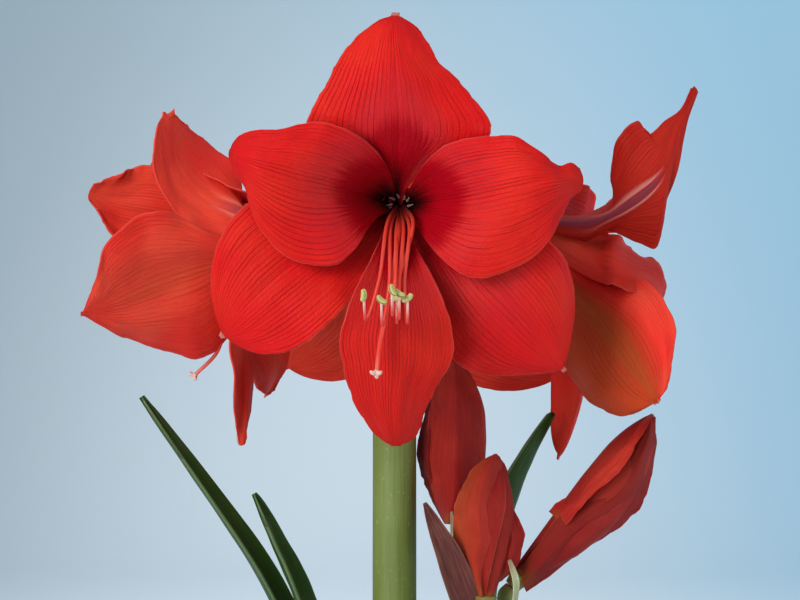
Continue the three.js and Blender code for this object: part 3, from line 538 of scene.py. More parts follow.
class PetalSettings(bpy.types.PropertyGroup):
    """Open flowers and buds"""
    bright: colour("Petal red", "Red of a petal's face", paint(228, 18, 26))
    warm: colour("Warm red", "Orange red where a petal catches warm light", paint(234, 38, 28))
    # Painted shade as well as a duller tone: this red darkens the lower petals and those that lie in shade.
    dull: colour("Dull red", "Duller red of the lower petals", paint(184, 34, 20))
    vein: colour("Vein", "Dark red of the veins", paint(150, 6, 14))
    crimson: colour("Crimson", "Crimson patch round the throat", paint(168, 2, 20))
    # Partly the throat's own near black and partly painted shade deep in the tube.
    throat: colour("Throat", "Nearly black throat", paint(20, 1, 2))
    # Painted sheen: this dull pink stands in for the satin's sheen beside the throat's patch.
    haze: colour("Haze", "Dull pink between the patch and the red", paint(176, 44, 52))
    # Painted highlight along the thin edge of a petal.
    rim: colour("Rim", "Thin edge of a petal", paint(238, 106, 92))
    back: colour("Back of the petal", "Coral red of a petal's back", paint(246, 78, 56))
    green: colour("Green stripe", "Olive stripe on the back of outer petals", paint(158, 86, 34))
    violet: colour("Violet stripe", "Violet stripe on the back of petals", paint(120, 62, 84))
    streak: colour("Pale streak", "Whitish lines beside the stripe", paint(240, 172, 160))
    # Maroon of the bud veins, and painted shade on the buds' shaded sides.
    maroon: colour("Maroon", "Darker buds", paint(112, 22, 24))
    bud: colour("Bud", "Duller red of the buds", paint(180, 36, 33))
    veins: IntProperty(name="Veins", description="Veins across a petal", default=30, min=2)
    thickness: length("Petal thickness", "Thickness of the petals", 0.0009)


class StamenSettings(bpy.types.PropertyGroup):
    """Stamens and styles"""
    filament: colour("Filament", "Red of the filaments", paint(230, 66, 48))
    filament_tip: colour("Filament tip", "Pale pink below each anther", paint(244, 190, 176))
    anther: colour("Anther", "Yellow green anthers", paint(206, 202, 128))
    stigma: colour("Stigma", "Pale pink stigma", paint(226, 160, 140))
    fringe: colour("Fringe", "Whitish scales in the throat", paint(200, 180, 160))


class StageSettings(bpy.types.PropertyGroup):
    """Floor, lights and camera"""
    floor: colour("Floor", "Plain pale floor and backdrop", paint(172, 212, 234))
    key: FloatProperty(name="Key light", description="Watts of the large soft light", default=48.0)
    fill: FloatProperty(name="Fill light", description="Watts of the light opposite", default=24.0)
    low: FloatProperty(name="Low light", description="Watts of the low light on the left", default=12.0)
    top: FloatProperty(name="Top light", description="Watts of the light overhead", default=11.0)
    wash: FloatProperty(name="Backdrop light", description="Watts on the backdrop", default=108.0)
    camera: FloatVectorProperty(
        name="Camera", description="Place of the camera", subtype="TRANSLATION", size=3,
        default=(-0.008, -1.6, 0.55))
    lens: FloatProperty(name="Lens", description="Focal length in millimetres", default=132.1)


class AmaryllisSettings(bpy.types.PropertyGroup):
    """Everything that a user may change"""
    pot: PointerProperty(type=PotSettings)
    bulb: PointerProperty(type=BulbSettings)
    greens: PointerProperty(type=GreenSettings)
    petals: PointerProperty(type=PetalSettings)
    stamens: PointerProperty(type=StamenSettings)
    stage: PointerProperty(type=StageSettings)


class Value:
    """A socket of a material's nodes. Arithmetic on it adds the Math nodes that work it out."""

    def __init__(self, tree, socket=None):
        self.tree = tree
        self.socket = socket

    def node(self, kind, settings=(), inputs=(), output=0):
        """Adds any node: its settings first, then the values or links of its sockets."""
        made = self.tree.nodes.new(kind)
        for name, value in dict(settings).items():
            setattr(made, name, value)
        for key, value in dict(inputs).items():
            if isinstance(value, Value):
                self.tree.links.new(value.socket, made.inputs[key])
            elif value is not None:
                is_colour = made.inputs[key].type == "RGBA" and len(value) == 3
                made.inputs[key].default_value = (*value, 1) if is_colour else value
        return Value(self.tree, made.outputs[output])

    def math(self, operation, *others, clamp=False):
        terms = dict(enumerate((self, *others)))
        return self.node("ShaderNodeMath", {"operation": operation, "use_clamp": clamp}, terms)

    def __add__(self, other):
        return self.math("ADD", other)

    __radd__ = __add__

    def __sub__(self, other):
        return self.math("SUBTRACT", other)

    def __rsub__(self, other):
        return self.node("ShaderNodeMath", {"operation": "SUBTRACT"}, {0: other, 1: self})

    def __mul__(self, other):
        return self.math("MULTIPLY", other)

    __rmul__ = __mul__

    def __truediv__(self, other):
        return self.math("DIVIDE", other)

    def __pow__(self, other):
        return self.math("POWER", other)

    def __abs__(self):
        return self.math("ABSOLUTE")

    def between(self, low, high):
        """0 below low, 1 above high and a smooth rise between them; low may be the larger."""
        inputs = {"Value": self, "From Min": low, "From Max": high}
        return self.node("ShaderNodeMapRange", {"interpolation_type": "SMOOTHSTEP"}, inputs)


class Finish(Value):
    """A material with its principled shader; constants go on the shader's own sockets."""

    def __init__(self, name, **constants):
        self.material = bpy.data.materials.new(name)
        self.material.use_nodes = True
        super().__init__(self.material.node_tree)
        self.shader = self.tree.nodes["Principled BSDF"]
        for socket, value in constants.items():
            self.shader.inputs[socket.replace("_", " ")].default_value = value

    def feed(self, socket, value):
        self.tree.links.new(value.socket, self.shader.inputs[socket])

    def mix(self, factor, first, second, blend="MIX"):
        settings = {"data_type": "RGBA", "blend_type": blend}
        return self.node("ShaderNodeMix", settings, {0: factor, 6: first, 7: second}, 2)

    def surface(self):
        """The two shares of the piece's own map: across or around, and along."""
        parts = self.node("ShaderNodeUVMap", {"uv_map": SPAN})
        split = {"Vector": parts}
        return (self.node("ShaderNodeSeparateXYZ", (), split, 0),
                self.node("ShaderNodeSeparateXYZ", (), split, 1))

    def attribute(self, name):
        return self.node("ShaderNodeAttribute", {"attribute_name": name}, (), 2)

    def place(self):
        return self.node("ShaderNodeTexCoord", (), (), 3)

    def vector(self, x, y, z=0.0):
        return self.node("ShaderNodeCombineXYZ", (), {0: x, 1: y, 2: z})

    def grain(self, vector, scale=1.0, detail=2.0, roughness=0.5):
        """Soft noise from 0 to 1."""
        inputs = {"Vector": vector, "Scale": scale, "Detail": detail, "Roughness": roughness}
        return self.node("ShaderNodeTexNoise", (), inputs, 0)

    def relief(self, height, distance, strength=1.0):
        inputs = {"Height": height, "Distance": distance, "Strength": strength}
        self.feed("Normal", self.node("ShaderNodeBump", (), inputs))


# What all petals share: a soft satin surface that light sinks into a little
SATIN = {
    "Specular_IOR_Level": 0.17, "Specular_Tint": (1, 0.5, 0.45, 1), "Sheen_Weight": 0.02,
    "Sheen_Roughness": 0.35, "Sheen_Tint": (1, 0.6, 0.55, 1), "Subsurface_Weight": 0.2,
    "Subsurface_Scale": 0.002, "Subsurface_Radius": (1.0, 0.16, 0.1),
}


def petal_veins(finish, settings, across, along, kin):
    """Dark veins that run along a petal, the finer lines between them, and the puckers across."""
    wander = finish.grain(finish.vector(across * 5, along * 3, kin * 9)) - 0.5
    jitter = finish.grain(finish.vector(across * 24, along * 30, kin * 4)) - 0.5
    comb = (across * settings.veins + wander * 0.9 + jitter * 0.25).math("PINGPONG", 0.5) * 2
    strength = finish.grain(finish.vector(across * 13, along * 3.2, kin * 5), 1, 1).between(0.3, 0.7)
    veins = comb.between(0.3, 0.0) * (0.25 + 0.75 * strength)
    lines = finish.grain(finish.vector(across * 130, along * 6, kin * 3), 1, 3)
    puckers = finish.grain(finish.vector(across * 52, along * 80, kin * 7), 1, 2.5)
    return veins, lines, puckers


def petal_face(settings):
    """Inner face of a petal: scarlet with dark veins, crimson and then black towards the throat, partly
    painted shade, with a painted sheen of dull pink beside the patch and a painted highlight on the rim.
    """
    finish = Finish("petal_face", **SATIN)
    across, along = finish.surface()
    kin = finish.attribute("kin")
    edge = abs(across - 0.5) * 2
    veins, lines, puckers = petal_veins(finish, settings, across, along, kin)
    cloud = finish.grain(finish.place(), 26, 2)
    red = finish.mix(cloud.between(0.38, 0.66), settings.bright, settings.warm)
    # Duller red, partly the petal's own tone and partly painted shade.
    red = finish.mix(finish.attribute("dull"), red, settings.dull)
    red = finish.mix(lines.between(0.42, 0.7) * 0.28, red, settings.vein)
    reach = along.between(0.02, 0.2) * along.between(1.02, 0.8)
    red = finish.mix(veins * reach * 0.62, red, settings.vein)
    streaks = finish.grain(finish.vector(across * 60, along * 2.5, kin * 6), 1, 2) - 0.5
    # The throat mark: its crimson and near black are partly the petal's own colour and partly painted shade
    # deep in the tube.
    throat = finish.attribute("throat") + (lines - 0.5) * 0.3 + streaks * 0.35 + veins * 0.1
    # Painted sheen: dull pink haze beside the crimson patch.
    haze = throat.between(-0.85, -0.1)
    red = finish.mix(haze * (0.15 + 0.5 * lines), red, settings.haze)
    red = finish.mix(throat.between(-0.14, 0.14), red, settings.crimson)
    red = finish.mix(throat.between(0.4, 0.86), red, settings.throat)
    pale = finish.attribute("pale")
    red = finish.mix(pale * (0.4 + 0.6 * lines), red, settings.streak)
    # Painted highlight on the thin rim.
    red = finish.mix(edge.between(0.976, 1.0) * 0.4 * throat.between(0.3, -0.1), red, settings.rim)
    finish.feed("Base Color", red)
    finish.feed("Roughness", 0.42 + 0.2 * puckers)
    finish.relief(0.7 * puckers + 0.25 * lines - 0.5 * veins, 0.0008, 0.8)
    return finish.material


def petal_back(settings):
    """Outer face of a petal: coral red with a green or violet stripe along its midrib, duller where painted
    shade darkens petals that lie in shade, and a painted highlight on the rim.
    """
    finish = Finish("petal_back", **SATIN)
    across, along = finish.surface()
    kin = finish.attribute("kin")
    edge = abs(across - 0.5) * 2
    veins, lines, puckers = petal_veins(finish, settings, across, along, kin)
    cloud = finish.grain(finish.place(), 22, 2)
    # Duller red, partly the petal's own tone and partly painted shade.
    dull = finish.attribute("dull")
    red = finish.mix(0.4 + 0.6 * cloud.between(0.36, 0.68), settings.bright, settings.back)
    red = finish.mix(dull, red, settings.dull)
    red = finish.mix(lines.between(0.4, 0.72) * (0.22 + 0.2 * dull), red, settings.vein)
    red = finish.mix(veins * (0.3 + 0.35 * dull) * along.between(0.02, 0.2), red, settings.vein)
    band = 0.1 + 0.34 * along.between(0.75, 0.0)
    flanked = edge / band
    side = finish.attribute("side")
    base = along.between(0.42, 0.04) * edge.between(1.0, 0.2)
    olive = flanked.between(1.3, 0.3) * along.between(1.0, 0.5) + base * 0.6 + side * 0.7
    red = finish.mix(olive.math("MINIMUM", 1.0) * finish.attribute("green") * (0.35 + 0.45 * lines),
                     red, settings.green)
    violet = finish.attribute("violet")
    stripe = edge / (0.04 + 0.24 * along.between(0.64, 0.1))
    red = finish.mix(stripe.between(1.1, 0.4) * violet * 0.75, red, settings.violet)
    flank = stripe.between(0.9, 1.25) * stripe.between(2.3, 1.3) * along.between(0.1, 0.45)
    red = finish.mix(flank * violet * (0.3 + 0.6 * lines), red, settings.streak)
    # Painted highlight on the thin rim.
    red = finish.mix(edge.between(0.976, 1.0) * 0.3, red, settings.rim)
    finish.feed("Base Color", red)
    finish.feed("Roughness", 0.42 + 0.2 * puckers)
    finish.relief(0.5 * puckers + 0.3 * lines - 0.5 * veins, 0.0007, 0.8)
    return finish.material


def bud_face(settings):
    """Outside of the buds: dull red with dark veins, olive at the foot, maroon as painted shade on its shaded
    parts and a painted highlight on the rim.
    """
    finish = Finish("bud_face", **SATIN)
    across, along = finish.surface()
    kin = finish.attribute("kin")
    edge = abs(across - 0.5) * 2
    veins, lines, puckers = petal_veins(finish, settings, across, along, kin)
    cloud = finish.grain(finish.place(), 30, 3)
    red = finish.mix(cloud.between(0.35, 0.7) * 0.6, settings.bud, settings.back)
    red = finish.mix(lines.between(0.4, 0.7) * 0.35, red, settings.maroon)
    red = finish.mix(veins * 0.5, red, settings.maroon)
    # Painted shade: maroon on the buds' shaded petals and sides.
    red = finish.mix(finish.attribute("maroon") * (0.6 + 0.4 * cloud), red, settings.maroon)
    olive = finish.attribute("green") * (0.25 + 0.75 * across.between(0.6, 0.0)) * (0.4 + 0.5 * lines)
    red = finish.mix(olive,
                     red, settings.green)
    red = finish.mix(along.between(0.12, 0.0) * edge.between(1.1, 0.3) * 0.6, red, settings.green)
    # Painted highlight on the thin rim.
    red = finish.mix(edge.between(0.96, 1.0) * 0.3, red, settings.rim)
    finish.feed("Base Color", red)
    finish.feed("Roughness", 0.4 + 0.2 * puckers)
    finish.relief(0.4 * puckers + 0.4 * lines - 0.6 * veins, 0.0006, 0.8)
    return finish.material


def filament_finish(name, settings, foot, pale, streaks):
    """A stem dark at its foot; pale gives where its tip turns pale, and how much."""
    finish = Finish(name, Roughness=0.4, Subsurface_Weight=0.2, Subsurface_Scale=0.001,
                    Subsurface_Radius=(1.0, 0.3, 0.2))
    start, end, strength = pale
    around, along = finish.surface()
    lines = finish.grain(finish.vector(around * 9, along * 4), 1, 2)
    tint = finish.mix(along.between(0.0, 0.3), foot, settings.filament)
    tint = finish.mix(along.between(start, end) * strength, tint, settings.filament_tip)
    tint = finish.mix(lines.between(0.5, 0.8) * streaks, tint, settings.filament_tip)
    finish.feed("Base Color", tint)
    finish.relief(lines, 0.0003, 0.6)
    return finish.material


def anther_finish(settings):
    """Pollen-dusted anther with a darker seam."""
    finish = Finish("anther", Roughness=0.85)
    around, _ = finish.surface()
    dust = finish.grain(finish.place(), 2600, 3)
    seam = abs(around - 0.5).between(0.07, 0.0)
    tint = finish.mix(dust.between(0.35, 0.7), settings.anther, paint(172, 160, 84))
    tint = finish.mix(seam * 0.9, tint, paint(70, 72, 34))
    finish.feed("Base Color", tint)
    finish.relief(dust, 0.0003, 0.8)
    return finish.material


def plain_finish(name, tint, shade, scale, roughness, depth, **constants):
    """Two close tints in soft grain, with the same grain as relief."""
    finish = Finish(name, **constants)
    dust = finish.grain(finish.place(), scale, 4, 0.6)
    finish.feed("Base Color", finish.mix(dust.between(0.3, 0.7), tint, shade))
    finish.feed("Roughness", roughness + 0.15 * dust)
    finish.relief(dust, depth, 0.8)
    return finish.material


def stalk_finish(settings):
    """Waxy grey green stalk with faint lengthwise lines and small pale flecks."""
    finish = Finish("stalk", Roughness=0.5, Subsurface_Weight=0.08, Subsurface_Scale=0.002,
                    Subsurface_Radius=(0.6, 1.0, 0.3), Specular_IOR_Level=0.3)
    around, along = finish.surface()
    lines = finish.grain(finish.vector(around * 60, along * 9), 1, 3)
    cloud = finish.grain(finish.place(), 18, 3)
    flecks = finish.grain(finish.place(), 420, 2).between(0.64, 0.74)
    tint = finish.mix(cloud.between(0.3, 0.75), settings.stalk, settings.stalk_pale)
    tint = finish.mix(lines.between(0.45, 0.7) * 0.35, tint, paint(84, 100, 52))
    tint = finish.mix(flecks * 0.25, tint, paint(184, 192, 150))
    finish.feed("Base Color", tint)
    finish.feed("Roughness", 0.42 + 0.2 * cloud)
    finish.relief(lines, 0.0004, 0.5)
    return finish.material


def pedicel_finish(settings, petals):
    """Green stem that turns red brown towards the flower's tube."""
    finish = Finish("pedicel", Roughness=0.45, Subsurface_Weight=0.08, Subsurface_Scale=0.002,
                    Subsurface_Radius=(0.6, 1.0, 0.3))
    around, along = finish.surface()
    lines = finish.grain(finish.vector(around * 30, along * 3), 1, 3)
    tint = finish.mix(lines.between(0.35, 0.7), settings.stalk, settings.stalk_pale)
    tint = finish.mix(along.between(0.86, 1.0) * 0.7, tint, petals.green)
    finish.feed("Base Color", tint)
    finish.relief(lines, 0.0004, 0.6)
    return finish.material


def tube_finish(settings, greens):
    """Tube behind a flower: green ribs that turn to red where the petals part."""
    finish = Finish("flower_tube", Roughness=0.46, Subsurface_Weight=0.1, Subsurface_Scale=0.002,
                    Subsurface_Radius=(1.0, 0.5, 0.3))
    around, along = finish.surface()
    ribs = (around * 6).math("PINGPONG", 0.5) * 2
    lines = finish.grain(finish.vector(around * 40, along * 3), 1, 3)
    tint = finish.mix(along.between(0.3, 0.95), greens.stalk, settings.back)
    tint = finish.mix(ribs.between(0.4, 0.9) * 0.5, tint, settings.green)
    tint = finish.mix(lines.between(0.45, 0.7) * 0.4, tint, settings.vein)
    finish.feed("Base Color", tint)
    finish.relief(lines, 0.0004, 0.6)
    return finish.material


def leaf_finish(settings):
    """Glossy strap leaf with fine parallel veins, a paler midline, thin pale margins and soft patches of
    painted sheen.
    """
    finish = Finish("leaf", Roughness=0.42, Specular_IOR_Level=0.28, Subsurface_Weight=0.08,
                    Subsurface_Scale=0.002, Subsurface_Radius=(0.5, 1.0, 0.2))
    across, along = finish.surface()
    edge = abs(across - 0.5) * 2
    lines = finish.grain(finish.vector(across * 46, along * 5), 1, 3)
    cells = finish.grain(finish.vector(across * 30, along * 160), 1, 2)
    cloud = finish.grain(finish.place(), 20, 3)
    tint = finish.mix(lines.between(0.35, 0.7) * 0.55, settings.leaf, paint(34, 58, 22))
    # Painted sheen: greyer green in soft patches.
    tint = finish.mix(cloud.between(0.5, 0.8) * 0.3, tint, settings.leaf_pale)
    tint = finish.mix(edge.between(0.16, 0.0) * 0.45, tint, settings.leaf_pale)
    tint = finish.mix(edge.between(0.93, 1.0) * 0.6, tint, settings.leaf_pale)
    tint = finish.mix(along.between(0.14, 0.0) * 0.8, tint, paint(176, 186, 130))
    finish.feed("Base Color", tint)
    finish.feed("Roughness", 0.3 + 0.2 * cells)
    finish.relief(0.7 * lines + 0.3 * cells, 0.0005, 0.7)
    return finish.material


def spathe_finish(settings, petals):
    """Withered, veined membrane, paler where it has dried through."""
    finish = Finish("spathe", Roughness=0.7, Subsurface_Weight=0.1, Subsurface_Scale=0.001,
                    Subsurface_Radius=(1.0, 0.5, 0.3), Specular_IOR_Level=0.2)
    across, along = finish.surface()
    edge = abs(across - 0.5) * 2
    lines = finish.grain(finish.vector(across * 40, along * 5), 1, 4, 0.6)
    cloud = finish.grain(finish.place(), 60, 3)
    tint = finish.mix(lines.between(0.35, 0.7), settings.spathe, paint(74, 38, 36))
    tint = finish.mix(cloud.between(0.5, 0.75) * 0.35, tint, paint(146, 96, 78))
    tint = finish.mix(edge.between(0.93, 1.0) * 0.4, tint, paint(150, 108, 88))
    finish.feed("Base Color", tint)
    finish.feed("Roughness", 0.6 + 0.2 * cloud)
    finish.relief(0.8 * lines + 0.4 * cloud, 0.0006, 0.8)
    return finish.material


def bract_finish(settings):
    finish = Finish("bract", Roughness=0.6, Subsurface_Weight=0.15, Subsurface_Scale=0.001)
    across, along = finish.surface()
    lines = finish.grain(finish.vector(across * 16, along * 4), 1, 3)
    tint = finish.mix(lines.between(0.35, 0.7), settings.bract, paint(206, 206, 168))
    tint = finish.mix(along.between(0.7, 1.0) * 0.7, tint, paint(150, 92, 74))
    finish.feed("Base Color", tint)
    finish.relief(lines, 0.0003, 0.6)
    return finish.material


def tunic_finish(settings):
    """Dry bulb skin: brown paper with lengthwise fibres, paler streaks and torn darker patches."""
    finish = Finish("tunic", Roughness=0.62, Sheen_Weight=0.15)
    around, along = finish.surface()
    fibres = finish.grain(finish.vector(around * 90, along * 6), 1, 4, 0.65)
    folds = finish.grain(finish.vector(around * 14, along * 2.5), 1, 3)
    cloud = finish.grain(finish.place(), 34, 4)
    tint = finish.mix(fibres.between(0.35, 0.7), settings.tunic, paint(92, 54, 32))
    tint = finish.mix(folds.between(0.5, 0.7) * 0.55, tint, paint(178, 132, 86))
    tint = finish.mix(cloud.between(0.52, 0.7) * 0.5, tint, paint(70, 40, 26))
    finish.feed("Base Color", tint)
    finish.feed("Roughness", 0.5 + 0.25 * cloud)
    finish.relief(0.7 * fibres + 0.6 * folds, 0.0009, 0.8)
    return finish.material


def neck_finish(settings):
    """Fleshy leaf bases inside the bulb's neck."""
    finish = Finish("neck", Roughness=0.5, Subsurface_Weight=0.15, Subsurface_Scale=0.002)
    around, along = finish.surface()
    fibres = finish.grain(finish.vector(around * 70, along * 5), 1, 3)
    tint = finish.mix(fibres.between(0.35, 0.7), settings.flesh, paint(134, 150, 88))
    tint = finish.mix(along.between(0.86, 1.0), tint, paint(140, 112, 70))
    finish.feed("Base Color", tint)
    finish.relief(fibres, 0.0005, 0.7)
    return finish.material


def clay_finish(settings):
    """Fired clay: mottled, with faint turning lines, fine pits and lime that dries near the foot."""
    finish = Finish("clay", Roughness=0.85)
    place = finish.place()
    height = finish.node("ShaderNodeSeparateXYZ", (), {"Vector": place}, 2)
    cloud = finish.grain(place, 26, 4, 0.6)
    grit = finish.grain(place, 900, 3)
    lines = finish.grain(finish.vector(0.0, 0.0, height * 620), 1, 2)
    lime = (cloud + 0.35 * height.between(0.05, 0.0) + 0.2 * finish.grain(place, 160, 4) - 0.1)
    tint = finish.mix(cloud.between(0.3, 0.7), settings.clay, paint(150, 80, 50))
    tint = finish.mix(lime.between(0.62, 0.82) * settings.wear, tint, settings.bloom)
    tint = finish.mix(grit.between(0.62, 0.72) * 0.3, tint, paint(120, 62, 40))
    finish.feed("Base Color", tint)
    finish.feed("Roughness", 0.72 + 0.2 * grit)
    finish.relief(0.5 * grit + 0.5 * lines, 0.0005, 0.7)
    return finish.material


def clothed(name, bm, finishes, nodes, thickness=None):
    """Turns a bmesh into a finished piece that rides on the root and stands for its nodes."""
    mesh = bpy.data.meshes.new(name)
    bm.to_mesh(mesh)
    bm.free()
    mesh.shade_smooth()
    for finish in finishes:
        mesh.materials.append(finish)
    piece = bpy.data.objects.new("finished_" + name, mesh)
    bpy.context.scene.collection.objects.link(piece)
    if thickness:
        wall = piece.modifiers.new("wall", "SOLIDIFY")
        wall.thickness = thickness
        wall.offset = 0
        wall.material_offset = 1 if len(finishes) > 1 else 0
    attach(piece, "root")
    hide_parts(*nodes)
    return piece


def fresh(*marks):
    """An empty bmesh with the map and the marks that the finishes read."""
    bm = bmesh.new()
    bm.loops.layers.uv.new(SPAN)
    for mark in marks:
        bm.verts.layers.float.new(mark)
    return bm


def evenly(count):
    return [k / count for k in range(count + 1)]


def sheet(bm, columns, shares, place, finish=0, marks=None, mirrored=False):
    """A grid whose points are placed by their shares across, -1 to 1, and along, with a map of both."""
    steps = len(shares) - 1
    span = bm.loops.layers.uv[SPAN]
    grid = bmesh.ops.create_grid(bm, x_segments=columns, y_segments=steps, size=0.5)["verts"]
    turn = -2 if mirrored else 2
    spots = {}
    for vert in grid:
        u = shares[round((vert.co.y + 0.5) * steps)]
        v = turn * vert.co.x
        spots[vert] = (v / 2 + 0.5, u)
        vert.co = place(u, v) * MM
        for name, value in (marks(u, v) if marks else {}).items():
            vert[bm.verts.layers.float[name]] = value
    for face in {face for vert in grid for face in vert.link_faces}:
        face.material_index = finish
        for loop in face.loops:
            loop[span].uv = spots[loop.vert]
    return grid


def through(points):
    """The smooth curve through some points, which takes the share of the way."""
    way = [Vector(point) for point in points]
    way = [2 * way[0] - way[1], *way, 2 * way[-1] - way[-2]]

    def at(part):
        place = min(max(part, 0), 1) * (len(way) - 3)
        span = min(int(place), len(way) - 4)
        t = place - span
        a, b, c, d = way[span:span + 4]
        before, here, after = (gap.length ** 0.5 + NUDGE for gap in (b - a, c - b, d - c))
        leave = ((b - a) / before - (c - a) / (before + here) + (c - b) / here) * here
        reach = ((c - b) / here - (d - b) / (here + after) + (d - c) / after) * here
        return (b + leave * t + (3 * (c - b) - 2 * leave - reach) * t ** 2
                + (2 * (b - c) + leave + reach) * t ** 3)
    return at


def bezier(points):
    """The Bezier curve of four control points, which takes the share of the way."""
    a, b, c, d = (Vector(point) for point in points)

    def at(t):
        s = 1 - t
        return s ** 3 * a + 3 * s * s * t * b + 3 * s * t * t * c + t ** 3 * d
    return at


def heading(route, part):
    return (route(min(part + NUDGE, 1)) - route(max(part - NUDGE, 0))).normalized()


def rounded_shares(count, cap):
    """Even shares of the way, closer together in the rounded ends that take up cap at each end."""
    ends = [cap * k for k in (0, 0.06, 0.25, 0.6)]
    middle = [cap + (1 - 2 * cap) * k / count for k in range(count + 1)]
    return [*ends, *middle, *[1 - k for k in reversed(ends)]]


def tube(bm, route, radius_at, sides, count, finish=0, cap=0.02):
    """A round stem along a route, with closed round ends; radius_at takes the share and the angle."""
    shares = rounded_shares(count, cap)
    first = heading(route, 0)
    across = first.orthogonal().normalized()
    frames = {}
    for part in shares:
        ahead = heading(route, part)
        across = (across - ahead * across.dot(ahead)).normalized()
        frames[part] = (route(part), across.copy(), ahead.cross(across))

    def place(u, v):
        middle, one, other = frames[u]
        inset = min(u, 1 - u) / cap
        close = math.sqrt(max(0, 1 - (1 - inset) ** 2)) if inset < 1 else 1
        angle = math.pi * v
        radius = close * radius_at(u, angle)
        return middle + one * (radius * math.cos(angle)) + other * (radius * math.sin(angle))
    grid = sheet(bm, sides, shares, place, finish)
    bmesh.ops.remove_doubles(bm, verts=grid, dist=MM * NUDGE)


class Bloom:
    """A flower's own directions: side, up and the axis that it faces along."""

    def __init__(self, origin, axis, roll=0):
        self.origin = Vector(origin)
        self.forward = Vector(axis).normalized()
        above = Vector((0, 1, 0)) if abs(self.forward.z) > 0.9 else Vector((0, 0, 1))
        up = (above - self.forward * above.dot(self.forward)).normalized()
        self.up = Matrix.Rotation(-math.radians(roll), 3, self.forward) @ up
        self.side = self.up.cross(self.forward)

    def at(self, side, up, forward):
        return self.origin + self.side * side + self.up * up + self.forward * forward


def turned(bm, bloom, profile, sides, finish=0, swell=None, bow=None):
    """A round body about a flower's axis, from a profile of (radius, distance along the axis)."""
    last = len(profile) - 1

    def place(u, v):
        radius, along = profile[round(u * last)]
        angle = math.pi * v
        radius *= swell(angle, along) if swell else 1
        rise = bow(along) if bow else 0
        return bloom.at(radius * math.cos(angle), radius * math.sin(angle) + rise, along)
    grid = sheet(bm, sides, evenly(last), place, finish)
    bmesh.ops.remove_doubles(bm, verts=grid, dist=MM * NUDGE)


def smooth_profile(profile, count):
    """A profile's points drawn out to count steps of one smooth line."""
    line = through([(radius, along, 0) for radius, along in profile])
    return [tuple(line(part))[:2] for part in evenly(count)]


def hill(distance, spread):
    """1 at the middle of a rise and 0 well away from it."""
    return math.exp(-(distance / spread) ** 2)


def murmur(x, y=0.0, z=0.0):
    """Soft seeded noise from about -1 to 1."""
    return noise.noise(Vector((x + SEED, y, z)))


PETAL_COLUMNS = 56
PETAL_ROWS = 76
MIDRIB_DEPTH = 0.7
NUB_FROM = 0.9985
NUB_WIDTH = 1.9
TIP_CLOSENESS = 1.5
SCALLOP = 0.03
SERRATION = 0.013
NET_STEP = 0.02


def nub_share(u):
    """How far along the small pale nub at a petal's tip a place is."""
    return max(0, (u - NUB_FROM) / (1 - NUB_FROM))


def petal_half(petal, u, side):
    """Half the width of a petal at a share of its length, on one side of its midline."""
    peak = petal["peak"] - petal["lean"] * side
    rise = petal["taper"] * peak / (1 - peak)
    top = peak ** rise * (1 - peak) ** petal["taper"]
    blade = min(u, NUB_FROM)
    outline = petal["width"] * blade ** rise * (1 - blade) ** petal["taper"] / top
    outline += (NUB_WIDTH - outline) * nub_share(u)
    plain = 0.5 * (outline + petal["claw"] * (1 - u) ** 2)
    return plain * (1 + petal["skew"] * side * math.sin(math.pi * u))


def ragged(petal, kin, u, v):
    """How much wider or narrower a petal's rim is at a place, for its scallops and small teeth."""
    side = math.copysign(1, v)
    rough = SCALLOP * murmur(u * 24, kin * 30, side * 4) + SERRATION * murmur(u * 75, kin * 30, side * 9)
    return 1 + petal["frill"] * rough * abs(v) ** 9


def ruffle(petal, u, v):
    """How far the slow waves of a petal's rims lift a place."""
    side = 1 if v > 0 else 0
    waves, phase = petal["waves"][side], petal["phase"][side]
    wave = (math.sin(2 * math.pi * (waves * u + phase))
            + 0.45 * math.sin(2 * math.pi * (2.3 * waves * u + 1.7 * phase)))
    return petal["ruffle"] * abs(v) ** 2.6 * math.sin(math.pi * u) ** 0.8 * wave


def uneven(petal, kin, u, v, x):
    """How far the frilled rim, the puckers and the midrib's groove push a petal's surface inwards."""
    edge, side = abs(v), math.copysign(1, v)
    bulge = math.sin(math.pi * u)
    frill = petal["frill"] * (murmur(u * 17, kin * 20, side * 5) + 0.5 * murmur(u * 38, kin * 20, side * 5))
    pucker = 0.9 * murmur(v * 2.6, u * 5.5, kin * 20) + 0.35 * murmur(v * 7, u * 15, kin * 20)
    return (1.6 * frill * edge ** 5 * bulge ** 0.5 + pucker * bulge
            - MIDRIB_DEPTH * hill(x, 1.7) * (1 - u) ** 0.5)


def net_surface(petal, kin):
    """Middle surface of a petal that is laid through its net of points, with a fine frill and puckers."""
    rows = [through(row) for row in petal["net"]]
    lines = {}

    def at(u, v):
        if v not in lines:
            lines[v] = through([row((v + 1) / 2) for row in rows])
        return lines[v](u)

    def place(u, v):
        middle = at(u, 0)
        flat = middle + (at(u, v) - middle) * ragged(petal, kin, u, v)
        left, right = max(v - NET_STEP, -1), min(v + NET_STEP, 1)
        near = min(u, 0.96)
        ahead = at(min(near + NET_STEP, 1), v) - at(max(near - NET_STEP, 0), v)
        inner = ahead.cross(at(near, right) - at(near, left)).normalized()
        x = math.copysign((flat - middle).length, v)
        point = flat + inner * (uneven(petal, kin, u, v, x) + ruffle(petal, u, v))
        tip = at(1, 0) - at(1 - NET_STEP, 0)
        return point + tip.normalized() * petal["nub"] * nub_share(u)
    return place


